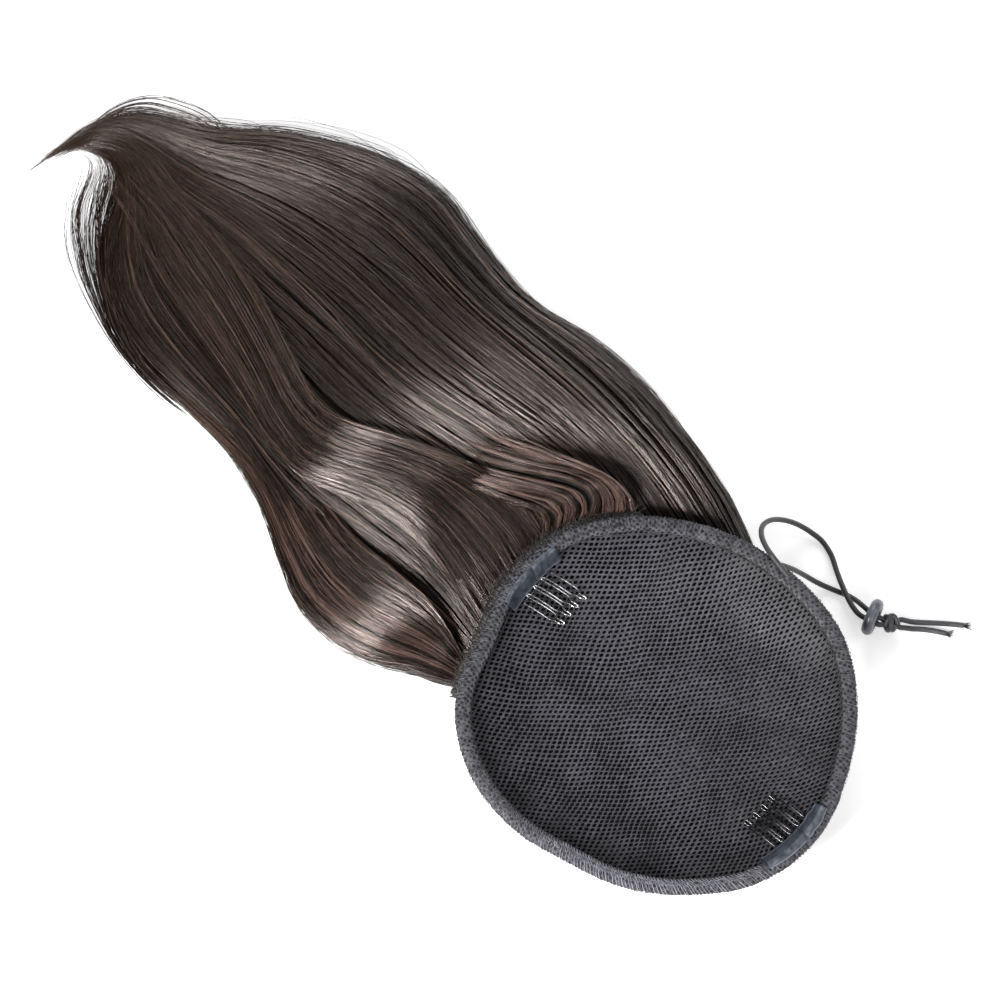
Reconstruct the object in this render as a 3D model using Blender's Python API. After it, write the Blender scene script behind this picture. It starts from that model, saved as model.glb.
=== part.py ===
# Drawstring ponytail hairpiece, lying on its hair with the net cap facing up.
# Metres, +Z up. The origin is on the floor, below the middle of the object without its cord.
# The hair runs from under the cap towards -X +Y, and the drawstring leaves the cap on its +X side.

import math

import bmesh
import bpy
from mathutils import Vector

MM = 0.001

# Cap. Its outline is a radius every 20 degrees, counter-clockwise from +X, and it
# rests on the hair with a slight rise towards the side where the hair leaves it.
CAP_CENTRE = (77 * MM, -82 * MM)
CAP_RADII_MM = (71.6, 71.6, 69.2, 68.1, 68.3, 70.2, 71.6, 70.1, 68.0,
                72.2, 71.9, 69.1, 66.2, 68.0, 70.5, 74.4, 75.1, 72.5)
CAP_SPOKES = 48
RIM_HEIGHT = 25 * MM
RISE_TOWARDS = (-0.75, 0.66)
RISE_PER_METRE = 0.045
NET_WALL = 1.2 * MM
NET_DEPTH = 12 * MM
NET_EDGE_INSET = 1.5 * MM
NET_RING_SHARES = (0.18, 0.34, 0.48, 0.6, 0.7, 0.79, 0.87, 0.93)

# Hem, the casing that holds the drawstring
HEM_WIDTH = 6.2 * MM
HEM_THICKNESS = 3.2 * MM
HEM_SIDES = 10
HEM_STATIONS = 60
SEAT_GAP = 0.3 * MM
SLOT_ANGLE = 49
SLOT_LENGTH = 15 * MM
SLOT_DEPTH = 4 * MM
SLOT_RUN_OUT = 4 * MM

# Stitched weft under the hem's outer edge, on the side where the hair leaves
WEFT_ANGLES = (94, 178)
WEFT_RADIUS = 1.6 * MM
WEFT_OUTSET = 0.6 * MM
WEFT_DROP = 3.6 * MM
WEFT_STATIONS = 30
WEFT_SIDES = 8
WEFT_END_ROOM = 6

# Combs: two legs a tooth, bent from one wire, with a satin ribbon sewn over the back
COMB_TEETH = 4
COMB_WIRE = 0.7 * MM
TOOTH_LENGTH = 15.5 * MM
TOOTH_WIDTH = 2.9 * MM
TOOTH_GAP = 1.15 * MM
TOOTH_RISE = 1.2 * MM
COMB_ROOT_INSET = 3.1 * MM
COMB_LIFT = 0.3 * MM
RIBBON_THICKNESS = 0.5 * MM
RIBBON_STATIONS = 11

# One tooth of the wire, from leg to leg: share of the tooth's width, share of its length
TOOTH_BENDS = (
    (0, 0), (0, 0.35), (0, 0.68), (0.28, 0.8), (0.28, 0.94), (0.5, 1),
    (0.72, 0.94), (0.72, 0.8), (1, 0.68), (1, 0.35), (1, 0))
TOOTH_ARCH_SHARE = 0.8

# Each comb: the angle of its first leg, the way its teeth reach, and its ribbon's two
# ends, in degrees. The ribbon's section runs from over the hem down onto the net, in
# millimetres: outwards from the hem's inner edge, and height from the rim plane.
COMBS = {
    "1": {"first_leg": 127.9, "reach": -27.7, "ribbon": (122.6, 146.0),
          "section_mm": ((2.7, 2.0), (1.9, 1.9), (1.0, 1.5), (-0.3, 0.1), (-2.4, -2.85))},
    "2": {"first_leg": 309.6, "reach": 140.3, "ribbon": (304.0, 328.0),
          "section_mm": ((4.1, 2.0), (2.6, 2.0), (1.0, 1.5), (-0.3, 0.1), (-2.4, -2.85))},
}

# Drawstring
CORD_DIAMETER = 2 * MM
CORD_BEND_RESOLUTION = 2
RING_RADIUS = 4.75 * MM
RING_THICKNESS = 4.4 * MM
RING_PLACE_MM = (154.5, -45, 7.1)
RING_TURN = -24
RING_SPOKES = 20
RING_SECTION_SIDES = 10
KNOT_SIZE = (7.2 * MM, 7.4 * MM, 6 * MM)
KNOT_PLACE_MM = (160.7, -46.6, 5.0)

# Cord routes in millimetres: x, y, height. Each leg starts inside the hem's slot.
LOOP_LEG_MM = (
    (125.2, -36.2, 24.8), (123.2, -33.8, 26.0), (121.0, -31.2, 27.2), (118.4, -27.8, 27.4),
    (116.2, -24.0, 26.0), (114.8, -20.0, 23.8), (114.6, -16.4, 21.6), (115.8, -13.4, 19.0),
    (118.6, -11.2, 15.8), (122.2, -10.2, 12.0), (126.0, -10.2, 8.4), (129.6, -11.0, 5.2),
    (133.0, -12.6, 2.8), (136.2, -14.8, 1.5), (138.4, -17.6, 1.15), (140.2, -21.0, 1.3),
    (141.4, -25.0, 2.0), (142.6, -29.2, 3.4), (144.0, -33.2, 4.7), (145.6, -37.2, 5.5),
    (147.4, -40.8, 6.2), (149.4, -43.6, 6.7), (151.6, -45.2, 7.0), (154.0, -46.1, 7.1),
    (155.8, -47.0, 6.9), (157.1, -47.7, 6.4))
STRAIGHT_LEG_MM = (
    (115.6, -27.9, 24.6), (118.0, -29.3, 24.5), (120.6, -29.9, 23.6), (123.4, -30.0, 21.2),
    (126.0, -29.9, 17.0), (128.4, -29.9, 12.4), (131.0, -30.2, 8.0), (134.0, -31.0, 4.2),
    (137.4, -32.1, 1.9), (140.6, -33.3, 1.15), (143.4, -34.5, 1.3), (146.2, -36.0, 2.4),
    (148.8, -38.1, 4.2), (151.2, -40.6, 6.0), (153.2, -42.7, 7.0), (155.1, -44.2, 7.1),
    (157.2, -45.1, 6.5))
TAIL_LONG_MM = (
    (164.7, -45.2, 4.0), (166.8, -45.2, 2.6), (169.4, -45.4, 1.5), (173.0, -45.5, 1.1),
    (177.5, -45.7, 1.1), (182.0, -46.0, 1.1), (185.0, -46.3, 1.1), (187.6, -46.6, 1.1))
TAIL_SHORT_MM = (
    (164.4, -47.9, 3.6), (166.4, -47.8, 2.3), (168.8, -47.9, 1.4), (172.0, -48.0, 1.1),
    (175.5, -48.4, 1.1), (178.6, -49.0, 1.1), (181.2, -49.6, 1.1))

# Hair. Five flow lines run from the far side, under the cap, out over its rim and to the tip.
# Each row of a line is one station in millimetres: x, y, height of the hair's top.
FLOW_LINES_MM = {
    "right_edge": (
        (139, -107, 13), (137, -58, 14), (113, -24, 13), (89, 15, 11), (57, 48, 10),
        (25, 71, 9), (4, 98, 8), (-20, 121, 7), (-51, 130, 6), (-75, 134, 5),
        (-103, 139, 4), (-130, 134, 3)),
    "right_fall": (
        (122, -134, 15), (102, -84, 20), (91, -16, 24), (60, 15, 24), (30, 40, 22),
        (3, 65, 20), (-20, 90, 18), (-43, 110, 15), (-64, 122, 11), (-86, 130, 8),
        (-107, 136, 6), (-130, 133, 4)),
    "middle": (
        (86, -145, 15), (72, -90, 20), (60, -12, 29), (32, 1, 29), (3, 18, 27),
        (-22, 42, 24), (-43, 68, 20), (-63, 92, 16), (-81, 110, 13), (-97, 122, 9),
        (-112, 130, 6), (-129, 132, 4)),
    "wave": (
        (51, -136, 15), (42, -108, 20), (25, -36, 28), (0, -16, 29), (-32, 0, 28),
        (-56, 16, 26), (-71, 41, 23), (-86, 65, 18), (-99, 87, 14), (-107, 106, 10),
        (-115, 121, 6), (-128, 131, 4)),
    "lobe": (
        (25, -121, 10), (13, -98, 13), (6, -72, 13), (-22, -61, 11), (-48, -40, 10),
        (-60, -9, 10), (-80, 22, 9), (-108, 46, 8), (-122, 70, 6), (-122, 94, 5),
        (-118, 113, 4), (-127, 130, 3)),
}
HAIR_STATIONS = 30
HAIR_LOCKS = 9
POINTS_PER_LOCK = 4
LOCK_GROOVE = 0.13

# Locks that lie over the main fall, in millimetres: x, y, height of the top, half width
LOOSE_LOCKS_MM = {
    "rim_curl": (
        (60, -26, 20, 5), (58, -14, 30, 7), (56, -5, 33, 8), (50, 2, 34, 8),
        (41, 4, 34, 8), (31, 3, 33, 8), (20, 1, 31, 7), (8, 3, 28, 5), (-4, 8, 24, 3)),
    "side_wave": (
        (30, -48, 20, 7), (20, -37, 30, 9), (4, -23, 32, 11), (-14, -11, 32, 12),
        (-33, -3, 31, 12), (-50, 8, 29, 11), (-63, 26, 26, 10), (-75, 47, 21, 8),
        (-86, 68, 15, 5), (-94, 86, 10, 3)),
    "fall_ridge": (
        (84, -30, 20, 7), (74, -10, 28, 9), (52, 14, 28, 10), (26, 36, 26, 10),
        (0, 60, 24, 9), (-22, 84, 21, 8), (-44, 104, 17, 6), (-66, 118, 12, 4),
        (-88, 126, 8, 2)),
    "lower_lobe": (
        (18, -86, 12, 5), (6, -70, 20, 8), (-14, -58, 20, 10), (-33, -45, 19, 10),
        (-46, -27, 18, 9), (-55, -6, 17, 8), (-70, 16, 15, 6), (-88, 34, 11, 4)),
    "tip_flick": (
        (-62, 128, 7, 4), (-76, 139, 9, 5), (-90, 146, 8, 5), (-105, 147, 7, 4),
        (-119, 142, 5, 4), (-131, 135, 4, 3)),
    "tip_hook": (
        (-98, 131, 5.5, 5), (-113, 134, 6, 5.5), (-127, 134, 5, 4.5), (-139, 130, 4, 3),
        (-149, 123, 3, 1.2)),
}
LOCK_STATIONS = 16
LOCK_FOOT = 0.5 * MM
LOCK_FOOT_STEP = 0.1 * MM
LOCK_SHOULDER = 0.55
LOCK_SECTION = ((-1, -1), (-1, 0.3), (-0.8, 0.68), (-0.42, 0.93), (0, 1),
                (0.42, 0.93), (0.8, 0.68), (1, 0.3), (1, -1))
CAP_CLEARANCE = 0.35 * MM
CLEARANCE_STEP_INSET = 3 * MM
ABOVE_HAIR = 60 * MM


def clear_scene():
    for old in list(bpy.data.objects):
        bpy.data.objects.remove(old, do_unlink=True)


def make_material(name, colour, roughness, metallic=0.0):
    material = bpy.data.materials.new(name)
    material.use_nodes = True
    shader = material.node_tree.nodes["Principled BSDF"]
    shader.inputs["Base Color"].default_value = (*colour, 1.0)
    shader.inputs["Roughness"].default_value = roughness
    shader.inputs["Metallic"].default_value = metallic
    return material


def add_object(name, data, material):
    obj = bpy.data.objects.new(name, data)
    bpy.context.scene.collection.objects.link(obj)
    if material:
        data.materials.append(material)
    return obj


def object_from_bmesh(name, bm, material=None):
    bmesh.ops.recalc_face_normals(bm, faces=bm.faces)
    mesh = bpy.data.meshes.new(name)
    bm.to_mesh(mesh)
    bm.free()
    mesh.shade_smooth()
    mesh.set_sharp_from_angle(angle=math.radians(50))
    return add_object(name, mesh, material)


def catmull_rom(before, start, end, after, part):
    square = part * part
    cube = square * part
    return 0.5 * (2 * start + (end - before) * part
                  + (2 * before - 5 * start + 4 * end - after) * square
                  + (3 * start - before - 3 * end + after) * cube)


def along(values, place):
    """Smooth value at a place from 0 to 1 along a list of numbers or vectors."""
    last = len(values) - 1
    span = min(int(place * last), last - 1)
    before = values[max(span - 1, 0)]
    after = values[min(span + 2, last)]
    return catmull_rom(before, values[span], values[span + 1], after, place * last - span)


def smooth_route(points_mm, count):
    points = [Vector(point) * MM for point in points_mm]
    return [along(points, step / (count - 1)) for step in range(count)]


def tube(name, points, diameter, sides_resolution, material):
    curve = bpy.data.curves.new(name, "CURVE")
    curve.dimensions = "3D"
    curve.bevel_depth = diameter / 2
    curve.bevel_resolution = sides_resolution
    curve.use_fill_caps = True
    spline = curve.splines.new("POLY")
    spline.points.add(len(points) - 1)
    for spot, point in zip(spline.points, points):
        spot.co = (*point, 1)
    return add_object(name, curve, material)


def loft(name, rings, material=None, closed=False):
    """A body through closed rings of points. A ring of one point is a pole."""
    bm = bmesh.new()
    loops = [[bm.verts.new(point) for point in ring] for ring in rings]
    pairs = list(zip(loops, loops[1:]))
    if closed:
        pairs.append((loops[-1], loops[0]))
    for first, second in pairs:
        count = max(len(first), len(second))
        for step in range(count):
            corners = [first[step % len(first)], first[(step + 1) % len(first)],
                       second[(step + 1) % len(second)], second[step % len(second)]]
            bm.faces.new(list(dict.fromkeys(corners)))
    if not closed:
        for end in (loops[0], loops[-1]):
            if len(end) > 2:
                bm.faces.new(end)
    return object_from_bmesh(name, bm, material)


def cut(body, cutter, operation="DIFFERENCE"):
    cutter.hide_render = True
    cutter.display_type = "WIRE"
    boolean = body.modifiers.new(cutter.name, "BOOLEAN")
    boolean.object = cutter
    boolean.operation = operation
    boolean.solver = "EXACT"


def cap_radius(angle):
    """Radius of the cap's outline, smooth and closed, at an angle in degrees."""
    count = len(CAP_RADII_MM)
    place = (angle % 360) / 360 * count
    span = int(place)
    radii = [CAP_RADII_MM[(span + step) % count] for step in (-1, 0, 1, 2)]
    return catmull_rom(*radii, place - span) * MM


def rim_plane(x, y):
    """Height of the middle of the hem above the floor."""
    away = (x - CAP_CENTRE[0]) * RISE_TOWARDS[0] + (y - CAP_CENTRE[1]) * RISE_TOWARDS[1]
    return RIM_HEIGHT + RISE_PER_METRE * away


def cap_point(angle, radius, height):
    """A point of the cap at an angle in degrees, with its height from the rim plane."""
    x = CAP_CENTRE[0] + radius * math.cos(math.radians(angle))
    y = CAP_CENTRE[1] + radius * math.sin(math.radians(angle))
    return Vector((x, y, rim_plane(x, y) + height))


def net_top(angle, radius):
    """Height of the net's upper face from the rim plane: a dish inside the hem."""
    seat = -HEM_THICKNESS / 2 - SEAT_GAP
    inner = cap_radius(angle) - HEM_WIDTH
    share = min(radius / inner, 1)
    return seat - NET_DEPTH * (1 - share ** 3)


def on_net(x, y, lift):
    """The point above x, y that lies a given lift over the net."""
    offset = Vector((x - CAP_CENTRE[0], y - CAP_CENTRE[1]))
    angle = math.degrees(math.atan2(offset.y, offset.x))
    return Vector((x, y, rim_plane(x, y) + net_top(angle, offset.length) + lift))


def spokes():
    return [360 * step / CAP_SPOKES for step in range(CAP_SPOKES)]


def net_ring(share, drop):
    """One ring of the net, at a share of the way out and a drop below its upper face."""
    ring = []
    for angle in spokes():
        radius = share * (cap_radius(angle) - NET_EDGE_INSET)
        ring.append(cap_point(angle, radius, net_top(angle, radius) - drop))
    return ring


def make_net_cap(material):
    shares = (*NET_RING_SHARES, 1)
    centre = Vector((*CAP_CENTRE, RIM_HEIGHT + net_top(0, 0)))
    rings = [[centre]]
    rings += [net_ring(share, 0) for share in shares]
    rings += [net_ring(share, NET_WALL) for share in reversed(shares)]
    rings.append([centre - Vector((0, 0, NET_WALL))])
    return loft("net_cap", rings, material)


def hem_section(angle, centre_radius, width, thickness, height=0.0, sides=HEM_SIDES):
    ring = []
    for step in range(sides):
        turn = 2 * math.pi * step / sides
        radius = centre_radius + width / 2 * math.cos(turn)
        ring.append(cap_point(angle, radius, height + thickness / 2 * math.sin(turn)))
    return ring


def slot_cutter():
    """A block across the hem's outer half, where the drawstring comes out."""
    middle = cap_point(SLOT_ANGLE, cap_radius(SLOT_ANGLE) + (SLOT_RUN_OUT - SLOT_DEPTH) / 2, 0)
    bm = bmesh.new()
    bmesh.ops.create_cube(bm, size=1)
    size = Vector((SLOT_DEPTH + SLOT_RUN_OUT, SLOT_LENGTH, 3 * HEM_THICKNESS))
    bmesh.ops.scale(bm, vec=size, verts=bm.verts)
    turn = math.radians(SLOT_ANGLE)
    for vert in bm.verts:
        x, y, z = vert.co
        vert.co = middle + Vector((x * math.cos(turn) - y * math.sin(turn),
                                   x * math.sin(turn) + y * math.cos(turn), z))
    return object_from_bmesh("hem_slot_cutter", bm)


def make_hem(material):
    rings = []
    for step in range(HEM_STATIONS):
        angle = 360 * step / HEM_STATIONS
        rings.append(hem_section(angle, cap_radius(angle) - HEM_WIDTH / 2,
                                 HEM_WIDTH, HEM_THICKNESS))
    hem = loft("rim_hem", rings, material, closed=True)
    cut(hem, slot_cutter())
    return hem


def make_weft(material):
    first, last = WEFT_ANGLES
    rings = []
    for step in range(WEFT_STATIONS):
        angle = first + (last - first) * step / (WEFT_STATIONS - 1)
        rings.append(hem_section(angle, cap_radius(angle) + WEFT_OUTSET, 2 * WEFT_RADIUS,
                                 2 * WEFT_RADIUS, -WEFT_DROP, WEFT_SIDES))
    return loft("weft_track", rings, material)


def comb_route(place):
    """The comb's wire: out along one leg, round the tip and back, tooth after tooth."""
    angle = math.radians(place["reach"])
    reach = Vector((math.cos(angle), math.sin(angle), 0)) * TOOTH_LENGTH
    first = place["first_leg"]
    root_radius = cap_radius(first) - HEM_WIDTH - COMB_ROOT_INSET
    points = []
    for tooth in range(COMB_TEETH):
        for across, out in TOOTH_BENDS:
            side = tooth * (TOOTH_WIDTH + TOOTH_GAP) + across * TOOTH_WIDTH
            turn = first + math.degrees(side / root_radius)
            root = cap_point(turn, cap_radius(turn) - HEM_WIDTH - COMB_ROOT_INSET, 0)
            spot = root + reach * out
            arch = TOOTH_RISE * math.sin(math.pi * min(out / TOOTH_ARCH_SHARE, 1))
            points.append(on_net(spot.x, spot.y, COMB_LIFT + COMB_WIRE / 2 + arch))
    return points


def make_ribbon(name, place, material):
    """A satin ribbon over the comb's back, lying across the hem's inner edge."""
    start, end = place["ribbon"]
    rings = []
    for step in range(RIBBON_STATIONS):
        angle = start + (end - start) * step / (RIBBON_STATIONS - 1)
        edge = cap_radius(angle) - HEM_WIDTH
        under = [cap_point(angle, edge + out * MM, up * MM) for out, up in place["section_mm"]]
        over = [point + Vector((0, 0, RIBBON_THICKNESS)) for point in reversed(under)]
        rings.append(under + over)
    return loft(name, rings, material)


def make_combs(ribbon_material, wire_material):
    for number, place in COMBS.items():
        tube("comb_wire_" + number, comb_route(place), COMB_WIRE, 1, wire_material)
        make_ribbon("comb_ribbon_" + number, place, ribbon_material)


def make_cord(material):
    for name, route, count in (("cord_loop_leg", LOOP_LEG_MM, 30),
                               ("cord_straight_leg", STRAIGHT_LEG_MM, 20),
                               ("cord_tail_long", TAIL_LONG_MM, 8),
                               ("cord_tail_short", TAIL_SHORT_MM, 7)):
        tube(name, smooth_route(route, count), CORD_DIAMETER, CORD_BEND_RESOLUTION, material)


def make_ring(material):
    """The rubber stopper ring, standing on the floor with its hole along the cord."""
    centre = Vector(RING_PLACE_MM) * MM
    axis = Vector((math.cos(math.radians(RING_TURN)), math.sin(math.radians(RING_TURN)), 0))
    side = Vector((-axis.y, axis.x, 0))
    rings = []
    for step in range(RING_SPOKES):
        turn = 2 * math.pi * step / RING_SPOKES
        spoke = side * math.cos(turn) + Vector((0, 0, math.sin(turn)))
        ring = []
        for corner in range(RING_SECTION_SIDES):
            roll = 2 * math.pi * corner / RING_SECTION_SIDES
            radius = RING_RADIUS + RING_THICKNESS / 2 * math.cos(roll)
            ring.append(centre + spoke * radius + axis * (RING_THICKNESS / 2 * math.sin(roll)))
        rings.append(ring)
    return loft("cord_ring", rings, material, closed=True)


def make_knot(material):
    bm = bmesh.new()
    bmesh.ops.create_uvsphere(bm, u_segments=16, v_segments=10, radius=0.5)
    bmesh.ops.scale(bm, vec=Vector(KNOT_SIZE), verts=bm.verts)
    bmesh.ops.translate(bm, vec=Vector(KNOT_PLACE_MM) * MM, verts=bm.verts)
    return object_from_bmesh("cord_knot", bm, material)


def flow_point(across, down):
    """A point on the hair's top: across from 0 to 1, and down from the far side to the tip."""
    lines = [along([Vector(row) for row in line], down) for line in FLOW_LINES_MM.values()]
    point = along(lines, across) * MM
    ridge = abs(math.sin(math.pi * HAIR_LOCKS * across))
    point.z *= 1 - LOCK_GROOVE * (1 - ridge)
    return point


def make_fall():
    """The main fall of hair: a sheet of locks carried down to the floor."""
    columns = HAIR_LOCKS * POINTS_PER_LOCK
    rows = HAIR_STATIONS
    bm = bmesh.new()
    bmesh.ops.create_grid(bm, x_segments=columns, y_segments=rows, size=0.5)
    for vert in bm.verts:
        vert.co = flow_point(vert.co.x + 0.5, vert.co.y + 0.5)
    top = bmesh.ops.extrude_face_region(bm, geom=list(bm.faces))
    for item in top["geom"]:
        if isinstance(item, bmesh.types.BMVert):
            item.co.z = 0
    return bm


def make_loose_lock(name, rows_mm, foot):
    """A lock lofted along its route, with a domed top and its foot just above the floor."""
    rows = [Vector(row) * MM for row in rows_mm]
    rings = []
    for step in range(LOCK_STATIONS):
        share = step / (LOCK_STATIONS - 1)
        x, y, top, half = along(rows, share)
        ahead = along(rows, min(share + 0.01, 1)) - along(rows, max(share - 0.01, 0))
        side = Vector((-ahead[1], ahead[0])).normalized()
        ring = []
        for across, up in LOCK_SECTION:
            height = top * (LOCK_SHOULDER + (1 - LOCK_SHOULDER) * up) if up >= 0 else foot
            ring.append(Vector((x + side.x * half * across, y + side.y * half * across, height)))
        rings.append(ring)
    return loft("lock_" + name, rings)


def clearance_body():
    """The space of the cap, hem and weft with a little room, carried up past the hair."""
    rings = []
    wall = NET_WALL + CAP_CLEARANCE
    centre = Vector((*CAP_CENTRE, RIM_HEIGHT + net_top(0, 0) - wall))
    rings.append([centre])
    rings += [net_ring(share, wall) for share in NET_RING_SHARES]
    edge = []
    outside = []
    above = []
    for angle in spokes():
        radius = cap_radius(angle)
        first, last = WEFT_ANGLES
        near_weft = first - WEFT_END_ROOM < angle < last + WEFT_END_ROOM
        reach = radius + (WEFT_OUTSET + WEFT_RADIUS if near_weft else 0) + CAP_CLEARANCE
        drop = WEFT_DROP + WEFT_RADIUS if near_weft else HEM_THICKNESS / 2 + SEAT_GAP + NET_WALL
        foot = cap_point(angle, reach, -drop - CAP_CLEARANCE)
        edge.append(cap_point(angle, radius - CLEARANCE_STEP_INSET, -drop - CAP_CLEARANCE))
        outside.append(foot)
        above.append(Vector((foot.x, foot.y, ABOVE_HAIR)))
    rings += [edge, outside, above]
    rings.append([Vector((*CAP_CENTRE, ABOVE_HAIR))])
    return loft("cap_clearance", rings)


def make_hair(material):
    hair = object_from_bmesh("hair", make_fall(), material)
    foot = LOCK_FOOT
    for name, rows in LOOSE_LOCKS_MM.items():
        foot += LOCK_FOOT_STEP
        cut(hair, make_loose_lock(name, rows, foot), "UNION")
    cut(hair, clearance_body())
    return hair


def build():
    clear_scene()
    net = make_material("net_grey", (0.055, 0.055, 0.065), 0.7)
    hem = make_material("hem_grey", (0.09, 0.09, 0.105), 0.7)
    weft = make_material("weft_black", (0.02, 0.018, 0.018), 0.8)
    satin = make_material("ribbon_satin", (0.07, 0.085, 0.11), 0.4)
    steel = make_material("comb_steel", (0.62, 0.62, 0.64), 0.25, 1.0)
    elastic = make_material("cord_elastic", (0.03, 0.03, 0.034), 0.35)
    rubber = make_material("ring_rubber", (0.12, 0.125, 0.14), 0.5)
    strands = make_material("hair_brown", (0.03, 0.022, 0.018), 0.4)
    make_net_cap(net)
    make_hem(hem)
    make_weft(weft)
    make_combs(satin, steel)
    make_cord(elastic)
    make_ring(rubber)
    make_knot(elastic)
    make_hair(strands)


build()
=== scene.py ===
import math

import bmesh
import bpy
import numpy as np
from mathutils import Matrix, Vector, noise


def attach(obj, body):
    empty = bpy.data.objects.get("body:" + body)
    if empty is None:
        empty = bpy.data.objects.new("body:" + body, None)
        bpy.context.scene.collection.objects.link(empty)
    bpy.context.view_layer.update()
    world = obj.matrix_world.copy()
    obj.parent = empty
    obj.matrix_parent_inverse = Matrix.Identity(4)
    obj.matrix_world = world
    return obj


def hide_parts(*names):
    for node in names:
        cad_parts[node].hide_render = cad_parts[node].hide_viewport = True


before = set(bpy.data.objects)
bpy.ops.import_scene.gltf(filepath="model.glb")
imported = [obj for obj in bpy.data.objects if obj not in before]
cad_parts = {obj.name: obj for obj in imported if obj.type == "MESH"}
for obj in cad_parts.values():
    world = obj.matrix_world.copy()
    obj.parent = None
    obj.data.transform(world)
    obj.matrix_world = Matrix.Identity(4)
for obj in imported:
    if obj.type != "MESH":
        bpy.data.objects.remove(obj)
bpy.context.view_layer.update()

# The picture. A long lens looks down at 75 degrees, so a picture pixel is 0.36 mm on the
# floor. The hairpiece lies on a plain pale floor under large soft lights.
MM = 0.001
PIXEL = 0.36
CENTRE_PIXEL = (442, 501)
LOOK_DOWN = math.radians(75)


def spot(px, py, height):
    """The point, in millimetres, that the picture shows at a pixel, at a height."""
    x = (px - CENTRE_PIXEL[0]) * PIXEL
    y = ((CENTRE_PIXEL[1] - py) * PIXEL - height * math.cos(LOOK_DOWN)) / math.sin(LOOK_DOWN)
    return (x, y, height)


CAMERA_DISTANCE = 6.0
PICTURE_PIXELS = 998
SENSOR_WIDTH = 36
picture_middle = Vector(spot(PICTURE_PIXELS / 2, PICTURE_PIXELS / 2, 0)) * MM
camera_data = bpy.data.cameras.new("camera")
camera_data.sensor_width = SENSOR_WIDTH
camera_data.lens = SENSOR_WIDTH * CAMERA_DISTANCE / (PICTURE_PIXELS * PIXEL * MM)
camera_data.clip_end = 50
camera = bpy.data.objects.new("camera", camera_data)
camera.location = picture_middle + CAMERA_DISTANCE * Vector(
    (0, -math.cos(LOOK_DOWN), math.sin(LOOK_DOWN)))
camera.rotation_euler = (math.pi / 2 - LOOK_DOWN, 0, 0)
bpy.context.scene.collection.objects.link(camera)
bpy.context.scene.camera = camera

# Each soft light: place, the size of its square face, power in watts
SOFT_LIGHTS = {
    "near_left_light": ((-0.85, -0.8, 1.05), 0.5, 42),
    "far_light": ((0.1, 1.1, 0.9), 0.7, 8),
    "near_light": ((0.7, -1.0, 1.0), 0.9, 7),
    "right_light": ((1.1, 0.2, 0.8), 0.7, 4),
}
for light_name, (place, size, watts) in SOFT_LIGHTS.items():
    light_data = bpy.data.lights.new(light_name, "AREA")
    light_data.shape = "SQUARE"
    light_data.size = size
    light_data.energy = watts
    light = bpy.data.objects.new(light_name, light_data)
    light.location = place
    light.rotation_euler = (-Vector(place)).to_track_quat("-Z", "Y").to_euler()
    bpy.context.scene.collection.objects.link(light)

world = bpy.data.worlds.new("soft_room")
world.use_nodes = True
background = world.node_tree.nodes["Background"]
background.inputs["Color"].default_value = (1, 1, 1, 1)
background.inputs["Strength"].default_value = 0.08
bpy.context.scene.world = world
bpy.context.scene.view_settings.view_transform = "Standard"


def new_material(name, roughness=0.5, metallic=0.0, specular=0.5):
    """A Principled material, with its node tree and its shader."""
    material = bpy.data.materials.new(name)
    material.use_nodes = True
    shader = material.node_tree.nodes["Principled BSDF"]
    shader.inputs["Roughness"].default_value = roughness
    shader.inputs["Metallic"].default_value = metallic
    shader.inputs["Specular IOR Level"].default_value = specular
    return material, material.node_tree, shader


def piece_from(bm, name, material, smooth=50):
    """A finished piece from its mesh: faces outwards, smooth up to an angle in degrees."""
    bmesh.ops.recalc_face_normals(bm, faces=bm.faces)
    mesh = bpy.data.meshes.new(name)
    bm.to_mesh(mesh)
    bm.free()
    mesh.shade_smooth()
    mesh.set_sharp_from_angle(angle=math.radians(smooth))
    mesh.materials.append(material)
    piece = bpy.data.objects.new(name, mesh)
    bpy.context.scene.collection.objects.link(piece)
    return piece


floor_material, tree, shader = new_material("pale_floor", 0.6)
shader.inputs["Base Color"].default_value = (0.93, 0.93, 0.93, 1)
shader.inputs["Emission Color"].default_value = (1, 1, 1, 1)
shader.inputs["Emission Strength"].default_value = 0.5
bm = bmesh.new()
bmesh.ops.create_grid(bm, x_segments=1, y_segments=1, size=6)
floor = piece_from(bm, "floor", floor_material)
floor.location.z = -0.0002

# Drawstring. One elastic cord runs in the hem. Its two legs come out of the hem's slot, one
# in a wide loop, pass through the rubber ring and end in a knot with two frayed tails.
CORD_DIAMETER = 2.0
CORD_UP = (0.31, 0.17, 0.93)
LOOP_CORD = (
    (125.2, -36.2, 24.8), (123.2, -33.8, 26.0), (121.0, -31.2, 27.2), (118.4, -27.8, 27.4),
    (116.2, -24.0, 26.0), (114.8, -20.0, 23.8), (114.6, -16.4, 21.6), (115.8, -13.4, 19.0),
    (118.6, -11.2, 15.8), (122.2, -10.2, 12.0), (126.0, -10.2, 8.4), (129.6, -11.0, 5.2),
    (133.0, -12.6, 2.8), (136.2, -14.8, 1.5), (138.4, -17.6, 1.15), (140.2, -21.0, 1.3),
    (141.4, -25.0, 2.0), (142.6, -29.2, 3.4), (144.0, -33.2, 4.7), (145.6, -37.2, 5.5),
    (147.4, -40.8, 6.2), (149.4, -43.6, 6.7), (151.6, -45.2, 7.0), (154.0, -46.1, 7.1),
    (155.8, -47.0, 6.9), (157.1, -47.7, 6.4), (161.0, -46.7, 5.2), (164.7, -45.2, 4.0),
    (166.8, -45.2, 2.6), (169.4, -45.4, 1.5), (173.0, -45.5, 1.1), (177.5, -45.7, 1.1),
    (182.0, -46.0, 1.1), (185.0, -46.3, 1.1), (187.6, -46.6, 1.1))
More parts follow.
